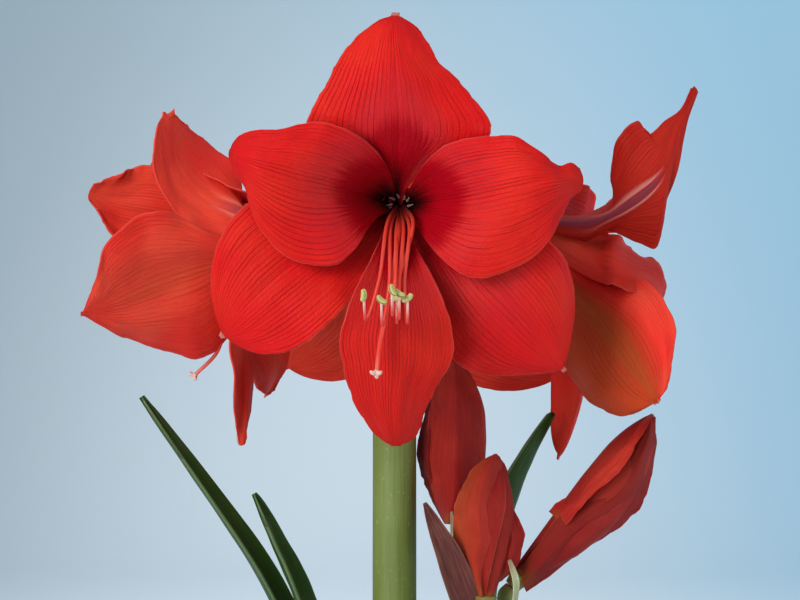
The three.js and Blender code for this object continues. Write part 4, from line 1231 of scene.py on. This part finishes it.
def petal_surface(bloom, petal, kin):
    """Middle surface of a petal, ruffled at its rim, with a grooved midrib and soft puckers."""
    if "net" in petal:
        return net_surface(petal, kin)
    spine = bezier([(radius, along, 0) for radius, along in petal["spine"]])
    curl = petal["curl"]

    def place(u, v):
        side = (v > 0) - (v < 0)
        middle = spine(u)
        ahead = heading(spine, u)
        az = math.radians(petal["az"] + petal["sway"] * u * u)
        out = bloom.side * math.cos(az) + bloom.up * math.sin(az)
        wide = bloom.up * math.cos(az) - bloom.side * math.sin(az)
        inner = bloom.forward * ahead.x - out * ahead.y
        half = petal_half(petal, u, side) * ragged(petal, kin, u, v)
        bend = math.radians((1 - u) ** 2 * curl[0] + 2 * u * (1 - u) * curl[1] + u * u * curl[2]) or NUDGE
        x = half * math.sin(bend * v) / bend
        n = half * (1 - math.cos(bend * v)) / bend + petal["crease"] * half * abs(v) * math.sin(math.pi * u)
        n += ruffle(petal, u, v) + uneven(petal, kin, u, v, x)
        turn = math.radians(petal["twist"] * u * u + petal["turn"] * (1 - (1 - u) ** 3))
        x, n = x * math.cos(turn) - n * math.sin(turn), x * math.sin(turn) + n * math.cos(turn)
        tip = petal["nub"] * nub_share(u)
        return (bloom.origin + out * (middle.x + ahead.x * tip) + bloom.forward * (middle.y + ahead.y * tip)
                + wide * x + inner * n)
    return place


def fade(value, start, end):
    """1 at start, 0 at end and a smooth fall between them; start may be the larger."""
    t = min(1, max(0, (value - end) / (start - end)))
    return t * t * (3 - 2 * t)


def petal_marks(petal, kin):
    """How dark the throat is and how dull the petal is, both partly painted shade, how pale the tip is and
    how strong the stripes are at a place.
    """
    def marks(u, v):
        reach = petal["patch"]
        one_sided = fade(v, 0, -0.5) if petal["green_side"] else 1.0
        return {
            "throat": max(-1.0, (reach - u - petal["wedge"] * v * v) / reach),
            "pale": 0.8 if u > NUB_FROM and petal["nub"] > 1 else 0.0, "dull": petal["dull"] * one_sided,
            "green": petal["green"] * one_sided, "side": float(petal["green_side"]),
            "violet": petal["violet"] * fade(u, petal["violet_to"] - 0.15, petal["violet_to"]), "kin": kin,
        }
    return marks


def clump_frame(name):
    flower = FLOWERS[name]
    return Bloom(flower["origin"], flower["axis"])


def make_petals(settings, greens):
    """Six petals, the tube that they grow from and the scales in its throat, for each flower."""
    face, back = petal_face(settings), petal_back(settings)
    tube_skin = tube_finish(settings, greens)
    stamens = bpy.context.scene.amaryllis.stamens
    fringe = plain_finish("throat_scale", stamens.fringe, paint(214, 120, 110), 900, 0.5, 0.0003)
    for number, (name, flower) in enumerate(FLOWERS.items()):
        bloom = clump_frame(name)
        bm = fresh("throat", "pale", "dull", "green", "side", "violet", "kin")
        for order, sizes in enumerate(flower["petals"]):
            petal = {**PETAL, **sizes}
            kin = (0.37 * order + 0.61 * number) % 1
            rows = [NUB_FROM * (1 - (1 - part) ** TIP_CLOSENESS) for part in evenly(PETAL_ROWS)]
            rows += [NUB_FROM + (1 - NUB_FROM) * part for part in (0.35, 0.75, 1)]
            sheet(bm, PETAL_COLUMNS, rows, petal_surface(bloom, petal, kin), 0,
                  petal_marks(petal, kin), True)
        clothed("petals_" + name, bm, [face, back], ["petals_" + name], settings.thickness)
        bm = fresh()
        profile = smooth_profile(TUBE, 30)
        turned(bm, bloom, profile, 72, 0, lambda angle, along: 1 + 0.05 * math.cos(6 * angle))
        dice = random.Random(SEED + number)
        for k in range(SCALES):
            angle = 2 * math.pi * (k + dice.uniform(-0.25, 0.25)) / SCALES
            reach = dice.uniform(4, 6.5)
            lean = dice.uniform(1.8, 3.2)
            ring = 4.6 + dice.uniform(-0.4, 0.4)
            way = through([
                bloom.at(r * math.cos(angle + twist), r * math.sin(angle + twist), 10 + along)
                for r, along, twist in (
                    (ring, 0, 0), (ring + 0.8, 0.5 * reach, 0.05), (ring + lean, reach, 0.16))])
            tube(bm, way, lambda u, a: 0.15 + 0.75 * (1 - u) ** 0.8, 7, 7, 1, 0.04)
        clothed("flower_tube_" + name, bm, [tube_skin, fringe], ["petals_" + name])


SCALES = 11


def anther(bm, bloom, tip, tilt, finish):
    """A curved, grooved anther that swings on its filament's tip."""
    side, up, forward = tip
    lean = math.radians(tilt)
    half = ANTHER_LENGTH / 2
    run = (math.cos(lean), math.sin(lean))

    def local(along, bow):
        return bloom.at(side + run[0] * along - run[1] * bow, up + run[1] * along + run[0] * bow,
                        forward + 0.6 + 0.12 * along)
    way = through([local(-half, 1.0), local(-half * 0.45, 0.1), local(half * 0.45, 0.1), local(half, 1.0)])

    def radius_at(u, angle):
        groove = 1 - 0.38 * hill(abs(angle) - math.pi / 2, 0.35)
        return ANTHER_RADIUS * (0.72 + 0.5 * math.sin(math.pi * u)) * groove * (0.8 if u > 0.96 else 1)
    tube(bm, way, radius_at, 20, 26, finish, 0.09)


def make_stamens(settings):
    """Six filaments with anthers and one style with a three-lobed stigma, for each flower."""
    finishes = [filament_finish("filament", settings, paint(104, 6, 10), (0.82, 0.97, 1.0), 0.3),
                anther_finish(settings),
                filament_finish("style", settings, paint(120, 6, 10), (0.8, 1.0, 0.2), 0.0),
                plain_finish("stigma", settings.stigma, paint(240, 206, 190), 1500, 0.5, 0.0002)]
    root = 8
    for name, flower in FLOWERS.items():
        bloom = clump_frame(name)
        bm = fresh()
        wide_share, forward_share = flower.get("spread", (1, 1))
        for i, (full_side, down, full_forward, tilt) in enumerate(ANTHERS):
            side = full_side * wide_share
            forward = full_forward * forward_share
            turn = math.pi * (1 + (i + 0.5) / len(ANTHERS))
            way = through([bloom.at(*point) for point in (
                (FILAMENT_RING * math.cos(turn), FILAMENT_RING * math.sin(turn), root - 1),
                (7 * math.cos(turn), -9 + 4 * math.sin(turn), 42),
                (side * 0.6, -0.85 * down, forward - 30),
                (side * 0.95, -down - FILAMENT_HOOK, forward - 9),
                (side, -down, forward))])
            tube(bm, way, lambda u, a: FILAMENT_RADIUS * (1.25 - 0.55 * u), 10, 60, 0, 0.01)
            anther(bm, bloom, (side, -down + 0.6, forward), tilt, 1)
        route = through([bloom.at(*point) for point in flower["style"]])
        tube(bm, route, lambda u, a: STYLE_RADIUS * (1.05 - 0.15 * u), 12, 60, 2, 0.01)
        end, ahead = route(1), heading(route, 1)
        for k in range(3):
            turn = 2 * math.pi * k / 3 + 0.5
            across = ahead.orthogonal().normalized()
            lobe = across * math.cos(turn) + ahead.cross(across) * math.sin(turn)
            way = through([end - ahead, end + lobe * 0.9 + ahead * 0.8, end + lobe * 2.4 + ahead * 1.2,
                           end + lobe * 3.4 + ahead * 0.4])
            tube(bm, way, lambda u, a: 0.5 + 0.7 * math.sin(math.pi * min(1, 0.25 + 0.75 * u)),
                 10, 10, 3, 0.12)
        clothed("stamens_" + name, bm, finishes, ["stamens_" + name])


def pedicel(bm, start, end, axis, sizes):
    """Stem from the stalk's head to a flower's tube, with the ovary's three lobes near its end."""
    forward = Vector(axis).normalized()
    first, last = Vector(start), Vector(end) - forward * GAP
    reach = (last - first).length
    route = bezier([first, first + Vector((0, 0, reach * 0.4)), last - forward * reach * 0.45, last])

    def radius_at(u, angle):
        swell = hill(u - OVARY_PLACE, OVARY_SPREAD)
        lobes = 0.09 * swell * math.cos(3 * angle)
        plain = sizes["radius"] + (sizes["ovary"] - sizes["radius"]) * swell
        return plain * (1 + lobes + 0.03 * murmur(angle * 2, u * 6, reach))
    tube(bm, route, radius_at, 36, 50, 0, 0.015)


def make_pedicels(greens, petals):
    skin = pedicel_finish(greens, petals)
    for name, flower in FLOWERS.items():
        bloom = clump_frame(name)
        towards = Vector((bloom.forward.x, bloom.forward.y, 0)).normalized() * PEDICEL["ring"]
        start = (MAIN_X + towards.x, towards.y, MAIN_TOP + GAP)
        bm = fresh()
        pedicel(bm, start, bloom.at(0, 0, TUBE[1][1]), flower["axis"], PEDICEL)
        clothed("pedicel_" + name, bm, [skin], ["pedicel_" + name])
    for name, bud in BUDS.items():
        bloom = Bloom(bud["origin"], bud["axis"], bud["roll"])
        bm = fresh()
        start = (*bud["foot"], SECOND_TOP + GAP)
        pedicel(bm, start, bloom.at(0, 0, BUD_TUBE[1][1]), bud["axis"], BUD_PEDICEL)
        clothed("pedicel_" + name, bm, [skin], ["pedicel_" + name])


def make_buds(settings, greens):
    """Pointed buds: a closed heart with three veined outer petals wrapped round it."""
    face = bud_face(settings)
    skin = tube_finish(settings, greens)
    outline = through([(radius, along, 0) for radius, along in BUD_PROFILE])
    for number, (name, bud) in enumerate(BUDS.items()):
        bloom = Bloom(bud["origin"], bud["axis"], bud["roll"])
        girth, reach = bud["girth"], bud["length"]
        bow = bud.get("bow", 0)
        bm = fresh("kin", "maroon", "green")
        heart = [(0.3, BUD_TUBE[0][1]), *BUD_TUBE[1:]]
        heart += [(0.8 * radius * girth, 0.95 * along * reach) for radius, along in BUD_PROFILE]
        turned(bm, bloom, smooth_profile(heart, 60), 48, 1, None,
               lambda along: -bow * math.sin(math.pi * min(1, max(0, along / reach))))
        for order in range(3):
            kin = (0.31 * order + 0.47 * number) % 1

            def place(u, v, order=order, kin=kin, bow=bow):
                radius, along = tuple(outline(u))[:2]
                step = 0.5 + 0.6 * v
                turn = math.radians(120 * (order + step) + BUD_SPIRAL * along)
                layer = 0.94 - 0.12 * (1 - step)
                ridge = 0.035 * hill(v + 0.1, 0.12) - 0.02 * hill(v + 0.1, 0.4)
                frill = 0.05 * murmur(u * 9, kin * 20) * max(0, v) ** 4
                r = radius * girth * (layer + ridge + frill + 0.02 * murmur(v * 3, u * 7, kin * 20))
                return bloom.at(r * math.cos(turn), r * math.sin(turn) - bow * math.sin(math.pi * along),
                                along * reach + 1.2 * murmur(v * 2, kin * 9) * u)
            sheet(bm, 44, evenly(70), place, 0,
                  lambda u, v, kin=kin: {"kin": kin, "maroon": 0.6, "green": 0.1})
        for order, wrap in enumerate(BUD_PETALS[name]):
            kin = (0.23 * order + 0.47 * number + 0.1) % 1
            sizes = {**PETAL, "ruffle": 0.3, "frill": 0.6, "nub": 0.5, "net": wrap["net"]}
            marks = {"kin": kin, "maroon": wrap["maroon"], "green": wrap["green"]}
            sheet(bm, 40, evenly(70), net_surface(sizes, kin), 0, lambda u, v, marks=marks: marks)
        clothed(name, bm, [face, skin], [name])


def make_stalks(greens):
    """Two leafless flower stalks with faint lengthwise ridges."""
    skin = stalk_finish(greens)
    ways = {
        "stalk_main": (
            bezier([(MAIN_X, 0, z) for z in (SOCKET_FLOOR, 292, 432, MAIN_TOP)]), MAIN_RADIUS, 0.6),
        "stalk_second": (bezier(SECOND_WAY), SECOND_RADIUS, 0.5),
    }
    for name, (route, radius, taper) in ways.items():
        bm = fresh()

        def radius_at(u, angle, radius=radius, taper=taper):
            ridges = 0.008 * murmur(3 * math.cos(angle) * 2, 3 * math.sin(angle) * 2, u * 3)
            return (radius - taper * u) * (1 + ridges + 0.006 * murmur(u * 9, angle))
        tube(bm, route, radius_at, 64, 110, 0, 0.006)
        clothed(name, bm, [skin], [name])


def strap(sizes, curl, tip, wander):
    """Middle surface of a strap leaf or a valve, channelled, and closing to a rounded tip."""
    route = through(sizes["path"])
    side = Vector(sizes["side"])
    foot = Vector(sizes.get("foot", (0, math.copysign(1, side.y), 0)))
    bend = math.radians(sizes.get("curl", curl))

    def place(u, v):
        ahead = heading(route, u)
        spread = foot.lerp(side, u)
        wide = (spread - ahead * spread.dot(ahead)).normalized()
        inner = wide.cross(ahead)
        width = sizes["half"] * (STRAP_FOOT + (1 - STRAP_FOOT) * math.sin(math.pi * min(u * 1.4, 0.5)))
        past = max(0, (u - STRAP_CLOSES) / (1 - STRAP_CLOSES))
        end = max(0, 1 - past ** STRAP_ROUNDNESS) ** sizes.get("pointed", 0.5)
        reach = width * end + tip * (1 - end)
        x = reach * math.sin(bend * v) / bend
        n = reach * (1 - math.cos(bend * v)) / bend + wander(u, v)
        return route(u) + wide * x + inner * n
    return place


def make_leaves(greens):
    """Strap leaves with a channelled midline and gently waved margins."""
    skin = leaf_finish(greens)
    for number, (name, leaf) in enumerate(LEAVES.items()):
        def wander(u, v, number=number):
            free = min(1, max(0, (u - 0.12) / 0.2))
            waves = 1.3 * murmur(u * 7, v * 1.2, number * 7) + 0.35 * murmur(u * 22, v * 3, number * 7)
            ribs = 0.1 * math.cos(v * 34)
            return free * waves + ribs - 0.5 * hill(v, 0.12)
        bm = fresh()
        sheet(bm, 32, evenly(130), strap(leaf, LEAF_CURL, 0.9, wander))
        clothed(name, bm, [skin], [name], greens.leaf_thickness)


def make_papery(greens, petals):
    """Withered spathe valves and thin bracteoles, crumpled along their veins."""
    kinds = {
        "spathe": (VALVES, spathe_finish(greens, petals), 1.0, 0.9),
        "bract": (BRACTS, bract_finish(greens), 0.25, 0.5),
    }
    for slot, (pieces, skin, crumple, tip) in kinds.items():
        for number, (name, sizes) in enumerate(pieces.items()):
            def wander(u, v, number=number, crumple=crumple):
                folds = 0.9 * murmur(v * 3.2, u * 2.2, number * 5) + 0.4 * murmur(v * 8, u * 5, number * 5)
                lip = 0.9 * murmur(u * 9, number * 5) * abs(v) ** 3
                return crumple * (folds + lip) * min(1, 6 * u)
            bm = fresh()
            sheet(bm, 26, evenly(80), strap(sizes, 40, tip, wander))
            clothed(name, bm, [skin], [name], greens.paper_thickness)


def spun(bm, profile, steps):
    """A body turned about the pot's axis from a closed or axis-to-axis profile."""
    verts = [bm.verts.new((radius * MM, 0, height * MM)) for radius, height in profile]
    edges = [bm.edges.new(pair) for pair in zip(verts, verts[1:])]
    bmesh.ops.spin(bm, geom=verts + edges, cent=(0, 0, 0), axis=(0, 0, 1), angle=2 * math.pi,
                   steps=steps, use_merge=True)
    bmesh.ops.remove_doubles(bm, verts=bm.verts, dist=MM * 0.01)
    bmesh.ops.recalc_face_normals(bm, faces=bm.faces)


def drawn_out(profile, radius, step):
    """A profile with its corners rounded and its straight runs cut into even steps."""
    rounded = [profile[0]]
    for before, corner, after in zip(profile, profile[1:], profile[2:]):
        before, corner, after = Vector(before), Vector(corner), Vector(after)
        cut = min(radius, (before - corner).length * 0.45, (after - corner).length * 0.45)
        start = corner + (before - corner).normalized() * cut
        end = corner + (after - corner).normalized() * cut
        for t in evenly(4):
            rounded.append(tuple(start.lerp(corner, t).lerp(corner.lerp(end, t), t)))
    rounded.append(profile[-1])
    fine = [rounded[0]]
    for start, end in zip(rounded, rounded[1:]):
        pieces = max(1, round((Vector(end) - Vector(start)).length / step))
        fine += [tuple(Vector(start).lerp(Vector(end), k / pieces)) for k in range(1, pieces + 1)]
    return fine


def pot_inside(height):
    body_top = POT_RIM_RADIUS - POT_RIM_STEP - 3
    slope = (body_top - POT_FOOT_RADIUS) / (POT_HEIGHT - POT_RIM_HEIGHT)
    return POT_FOOT_RADIUS - POT_WALL + slope * height


def make_pot(settings):
    """Clay pot with a rolled rim, and drain holes cut through its floor."""
    rim_foot = POT_HEIGHT - POT_RIM_HEIGHT
    body_top = POT_RIM_RADIUS - POT_RIM_STEP - 3
    profile = [
        (0, 0), (POT_FOOT_RADIUS, 0), (body_top, rim_foot), (POT_RIM_RADIUS, rim_foot + 2),
        (POT_RIM_RADIUS, POT_HEIGHT), (pot_inside(POT_HEIGHT), POT_HEIGHT),
        (pot_inside(POT_WALL), POT_WALL), (0, POT_WALL),
    ]
    bm = fresh()
    spun(bm, drawn_out(profile, 3, 3), 160)
    for vert in bm.verts:
        if 1 < vert.co.z / MM:
            ring = Vector((vert.co.x, vert.co.y, 0))
            if ring.length > 1e-4:
                uneven = 0.12 * murmur(vert.co.x * 30, vert.co.y * 30, vert.co.z * 45)
                uneven += 0.06 * murmur(0, 0, vert.co.z * 420)
                vert.co += ring.normalized() * uneven * MM
    pot = clothed("pot", bm, [clay_finish(settings)], ["pot"])
    bm = bmesh.new()
    for k in range(DRAIN_COUNT):
        turn = 2 * math.pi * (k + 0.25) / DRAIN_COUNT
        spot = Vector((math.cos(turn), math.sin(turn), 0)) * DRAIN_RING * MM
        bmesh.ops.create_cone(
            bm, cap_ends=True, segments=40, radius1=DRAIN_RADIUS * MM, radius2=DRAIN_RADIUS * MM,
            depth=4 * POT_WALL * MM, matrix=Matrix.Translation(spot))
    mesh = bpy.data.meshes.new("drains")
    bm.to_mesh(mesh)
    bm.free()
    drains = bpy.data.objects.new("drains", mesh)
    bpy.context.scene.collection.objects.link(drains)
    cut = pot.modifiers.new("drains", "BOOLEAN")
    cut.operation = "DIFFERENCE"
    cut.solver = "EXACT"
    cut.object = drains
    whole = pot.evaluated_get(bpy.context.evaluated_depsgraph_get())
    carved = bpy.data.meshes.new_from_object(whole)
    pot.modifiers.remove(cut)
    pot.data = carved
    bpy.data.objects.remove(drains)


def make_soil(settings):
    """Lumpy potting soil with loose crumbs."""
    profile = [
        (0, POT_WALL + GAP), (pot_inside(POT_WALL) - 4, POT_WALL + GAP),
        (pot_inside(SOIL_TOP) - 1, SOIL_TOP - 3), (0.8 * pot_inside(SOIL_TOP), SOIL_TOP), (0, SOIL_TOP),
    ]
    bm = fresh()
    spun(bm, drawn_out(profile, 2, 2), 140)
    for vert in bm.verts:
        if vert.co.z / MM > SOIL_TOP - 4:
            place = vert.co / MM
            lumps = 1.5 * murmur(place.x / 9, place.y / 9) + 0.8 * murmur(place.x / 3, place.y / 3)
            vert.co.z += lumps * MM
    soil = plain_finish("soil", settings.soil, paint(86, 64, 46), 320, 0.85, 0.0015)
    flesh = plain_finish("soil_chips", paint(112, 84, 58), paint(66, 46, 32), 240, 0.8, 0.001)
    dice = random.Random(SEED)
    outer = pot_inside(SOIL_TOP) - 3
    for k in range(settings.crumbs):
        angle = dice.uniform(0, 2 * math.pi)
        radius = math.sqrt(dice.uniform(42 ** 2, outer ** 2))
        size = settings.crumb * dice.uniform(0.25, 1) ** 1.5
        spot = Vector((radius * math.cos(angle) * MM, radius * math.sin(angle) * MM, (SOIL_TOP + 0.4) * MM))
        turn = Matrix.Rotation(dice.uniform(0, 6), 4, "Z") @ Matrix.Rotation(dice.uniform(0, 6), 4, "X")
        squash = Matrix.Diagonal((1, dice.uniform(0.5, 0.9), dice.uniform(0.35, 0.8), 1))
        crumb = bmesh.ops.create_icosphere(
            bm, subdivisions=1, radius=size, matrix=Matrix.Translation(spot) @ turn @ squash)["verts"]
        for face in {face for vert in crumb for face in vert.link_faces}:
            face.material_index = k % 5 == 0
    clothed("soil", bm, [soil, flesh], ["soil"])


def make_bulb(settings):
    """Bulb with a papery brown skin, dry flaps that peel from it, and the pale leaf bases in its neck."""
    skin, flesh = tunic_finish(settings), neck_finish(settings)
    upright = Bloom((0, 0, 0), (0, 0, 1))
    profile = [
        (0.3, BULB_BASE), (0.4 * BULB_RADIUS, BULB_BASE + 0.5), (0.74 * BULB_RADIUS, 93),
        (0.93 * BULB_RADIUS, 105), (BULB_RADIUS, 120), (0.98 * BULB_RADIUS, 134), (0.88 * BULB_RADIUS, 149),
        (0.78 * BULB_RADIUS, 160), (NECK_RADIUS + 1, 171), (NECK_RADIUS - 1, NECK_TOP - 1),
        (NECK_RADIUS - 4, NECK_TOP), (NECK_RADIUS - 7, NECK_TOP - 4), (20, NECK_TOP - 5), (0.3, NECK_TOP - 5),
    ]

    def swell(angle, along):
        creases = murmur(4 * math.cos(angle), 4 * math.sin(angle), along / 60)
        fine = murmur(14 * math.cos(angle), 14 * math.sin(angle), along / 30)
        return 1 - 0.012 + 0.014 * creases + 0.006 * fine
    bm = fresh()
    turned(bm, upright, smooth_profile(profile, 110), 180, 0, swell)
    clothed("bulb", bm, [skin], ["bulb"])
    bm = fresh()
    dice = random.Random(SEED + 1)
    for k in range(9):
        middle = 2 * math.pi * (k + dice.uniform(-0.3, 0.3)) / 9
        width = dice.uniform(0.28, 0.5)
        low = dice.uniform(128, 150)
        high = dice.uniform(178, 194)
        flare = dice.uniform(1, 7)

        def place(u, v, middle=middle, width=width, low=low, high=high, flare=flare, k=k):
            ragged = 7 * murmur(v * 2.5, k * 5) + 2.5 * murmur(v * 9, k * 5)
            z = low + (high + ragged * u ** 2 - low) * u
            narrowing = fade(z, 172, 134)
            body = 0.98 * BULB_RADIUS + (NECK_RADIUS + 0.6 - 0.98 * BULB_RADIUS) * narrowing
            r = body + 0.8 + flare * u ** 4 + 1.2 * murmur(v * 3, u * 3, k * 5) * u
            angle = middle + width * v * (1 - 0.45 * u ** 2 - 0.35 * (1 - u) ** 3)
            return Vector((r * math.cos(angle), r * math.sin(angle), z))
        sheet(bm, 26, evenly(34), place)
    clothed("bulb_skin", bm, [skin], ["bulb"], 0.0005)
    bm = fresh()
    for k, (radius, height) in enumerate(((30, 190), (25, 186), (20, 184))):
        def wall(u, v, k=k, radius=radius, height=height):
            angle = math.pi * v
            lip = 2.5 * murmur(3 * math.cos(angle), 3 * math.sin(angle), k * 7)
            r = radius + 1.2 * murmur(2 * math.cos(angle), 2 * math.sin(angle), k * 7) + 1.2 * u
            return Vector((r * math.cos(angle), r * math.sin(angle), 178 + (height + lip - 178) * u))
        sheet(bm, 90, evenly(12), wall)
    bmesh.ops.remove_doubles(bm, verts=bm.verts, dist=MM * NUDGE)
    clothed("bulb_neck", bm, [flesh], ["bulb"], 0.0022)
    roots = plain_finish("root", settings.root, paint(186, 170, 134), 300, 0.6, 0.0006)
    dress("roots", roots)


def dress(node, finish):
    """Gives a node of the frame its finish and leaves its shape alone."""
    for slot in bpy.data.objects[node].material_slots:
        slot.material = finish


# The backdrop, in metres
SWEEP_START = 4.3
SWEEP_RADIUS = 1.7
WALL_STRETCH = 1.6


def make_stage(settings):
    """Pale floor that sweeps up into a backdrop, with a painted pool of light low in the middle, soft lights
    and the camera.
    """
    finish = Finish("backdrop", Roughness=0.9)
    x = finish.node("ShaderNodeSeparateXYZ", (), {"Vector": finish.place()}, 0)
    z = finish.node("ShaderNodeSeparateXYZ", (), {"Vector": finish.place()}, 2)
    # Painted pool of light: the backdrop turns whiter low in the middle and fades upwards and to the sides.
    painted_glow_distance = (((x + 0.1) / 1.34) ** 2.0 + ((z + 0.18) / 2.2) ** 2.0) ** 0.5
    wall = finish.mix(x.between(-0.88, 0.88), paint(170, 188, 198), settings.floor)
    finish.feed("Base Color", finish.mix(painted_glow_distance.between(1.0, 0.0), wall, paint(230, 240, 248)))
    bm = bmesh.new()
    grid = bmesh.ops.create_grid(bm, x_segments=40, y_segments=160, size=9)["verts"]
    for vert in grid:
        past = vert.co.y - SWEEP_START
        if past > 0:
            bend = min(past / SWEEP_RADIUS, math.pi / 2)
            straight = max(0, past - SWEEP_RADIUS * math.pi / 2)
            vert.co.y = SWEEP_START + SWEEP_RADIUS * math.sin(bend)
            vert.co.z = SWEEP_RADIUS * (1 - math.cos(bend)) + straight * WALL_STRETCH
    mesh = bpy.data.meshes.new("floor")
    bm.to_mesh(mesh)
    bm.free()
    mesh.shade_smooth()
    mesh.materials.append(finish.material)
    floor = bpy.data.objects.new("floor", mesh)
    bpy.context.scene.collection.objects.link(floor)
    world = bpy.data.worlds.new("pale_room")
    world.use_nodes = True
    sky = world.node_tree.nodes["Background"].inputs
    sky[0].default_value = (*paint(196, 212, 222), 1)
    sky[1].default_value = 0.34
    bpy.context.scene.world = world
    plant, behind = Vector((0, 0, 0.5)), Vector((0, 6.0, 1.2))
    lamps = (
        ("key", settings.key, 1.3, Vector((-1.5, -1.9, 1.4)), plant),
        ("fill", settings.fill, 1.4, Vector((2.3, -0.3, 0.5)), plant),
        ("low", settings.low, 1.0, Vector((-1.0, -1.9, 0.2)), plant),
        ("top", settings.top, 1.2, Vector((0.1, -0.2, 2.6)), plant),
        ("wash", settings.wash, 3.4, Vector((0, 2.3, 3.6)), behind),
    )
    for name, power, size, place, target in lamps:
        light = bpy.data.lights.new(name, "AREA")
        light.energy = power
        light.size = size
        lamp = bpy.data.objects.new(name, light)
        lamp.location = place
        lamp.rotation_euler = (target - place).to_track_quat("-Z", "Y").to_euler()
        bpy.context.scene.collection.objects.link(lamp)
    lens = bpy.data.cameras.new("camera")
    lens.lens = settings.lens
    camera = bpy.data.objects.new("camera", lens)
    camera.location = settings.camera
    camera.rotation_euler = (math.pi / 2, 0, 0)
    bpy.context.scene.collection.objects.link(camera)
    bpy.context.scene.camera = camera
    bpy.context.scene.view_settings.view_transform = "Standard"


class PieceOperator:
    """What all the makers share"""
    bl_options = {"REGISTER", "UNDO"}

    def execute(self, context):
        self.make(context.scene.amaryllis)
        return {"FINISHED"}


class AMARYLLIS_OT_pot(PieceOperator, bpy.types.Operator):
    """Make the clay pot"""
    bl_idname = "amaryllis.pot"
    bl_label = "Pot"

    def make(self, sizes):
        make_pot(sizes.pot)


class AMARYLLIS_OT_soil(PieceOperator, bpy.types.Operator):
    """Make the soil and its crumbs"""
    bl_idname = "amaryllis.soil"
    bl_label = "Soil"

    def make(self, sizes):
        make_soil(sizes.pot)


class AMARYLLIS_OT_bulb(PieceOperator, bpy.types.Operator):
    """Make the bulb, its dry skin and its neck"""
    bl_idname = "amaryllis.bulb"
    bl_label = "Bulb"

    def make(self, sizes):
        make_bulb(sizes.bulb)


class AMARYLLIS_OT_stalks(PieceOperator, bpy.types.Operator):
    """Make both flower stalks"""
    bl_idname = "amaryllis.stalks"
    bl_label = "Stalks"

    def make(self, sizes):
        make_stalks(sizes.greens)


class AMARYLLIS_OT_leaves(PieceOperator, bpy.types.Operator):
    """Make the strap leaves"""
    bl_idname = "amaryllis.leaves"
    bl_label = "Leaves"

    def make(self, sizes):
        make_leaves(sizes.greens)


class AMARYLLIS_OT_papery(PieceOperator, bpy.types.Operator):
    """Make the spathe valves and the bracteoles"""
    bl_idname = "amaryllis.papery"
    bl_label = "Spathes and bracteoles"

    def make(self, sizes):
        make_papery(sizes.greens, sizes.petals)


class AMARYLLIS_OT_pedicels(PieceOperator, bpy.types.Operator):
    """Make the pedicels with their ovaries"""
    bl_idname = "amaryllis.pedicels"
    bl_label = "Pedicels"

    def make(self, sizes):
        make_pedicels(sizes.greens, sizes.petals)


class AMARYLLIS_OT_flowers(PieceOperator, bpy.types.Operator):
    """Make the petals and tubes of the open flowers"""
    bl_idname = "amaryllis.flowers"
    bl_label = "Flowers"

    def make(self, sizes):
        make_petals(sizes.petals, sizes.greens)


class AMARYLLIS_OT_stamens(PieceOperator, bpy.types.Operator):
    """Make the stamens and styles"""
    bl_idname = "amaryllis.stamens"
    bl_label = "Stamens"

    def make(self, sizes):
        make_stamens(sizes.stamens)


class AMARYLLIS_OT_buds(PieceOperator, bpy.types.Operator):
    """Make the closed buds"""
    bl_idname = "amaryllis.buds"
    bl_label = "Buds"

    def make(self, sizes):
        make_buds(sizes.petals, sizes.greens)


class AMARYLLIS_OT_stage(PieceOperator, bpy.types.Operator):
    """Make the floor, the lights and the camera"""
    bl_idname = "amaryllis.stage"
    bl_label = "Stage"

    def make(self, sizes):
        make_stage(sizes.stage)


MAKERS = (
    AMARYLLIS_OT_stage, AMARYLLIS_OT_pot, AMARYLLIS_OT_soil, AMARYLLIS_OT_bulb, AMARYLLIS_OT_stalks,
    AMARYLLIS_OT_leaves, AMARYLLIS_OT_papery, AMARYLLIS_OT_pedicels, AMARYLLIS_OT_flowers,
    AMARYLLIS_OT_stamens, AMARYLLIS_OT_buds,
)


class AMARYLLIS_PT_panel(bpy.types.Panel):
    """Lists the makers of the plant's pieces"""
    bl_idname = "AMARYLLIS_PT_panel"
    bl_label = "Potted Amaryllis"
    bl_space_type = "VIEW_3D"
    bl_region_type = "UI"
    bl_category = "Amaryllis"

    def draw(self, context):
        for maker in MAKERS:
            self.layout.operator(maker.bl_idname)


GROUPS = (PotSettings, BulbSettings, GreenSettings, PetalSettings, StamenSettings, StageSettings,
          AmaryllisSettings)


def register():
    for kind in (*GROUPS, *MAKERS, AMARYLLIS_PT_panel):
        bpy.utils.register_class(kind)
    bpy.types.Scene.amaryllis = PointerProperty(type=AmaryllisSettings)


def unregister():
    del bpy.types.Scene.amaryllis
    for kind in reversed((*GROUPS, *MAKERS, AMARYLLIS_PT_panel)):
        bpy.utils.unregister_class(kind)


def main():
    register()
    for maker in MAKERS:
        getattr(bpy.ops.amaryllis, maker.bl_idname.split(".")[1])()


if __name__ == "__main__":
    main()
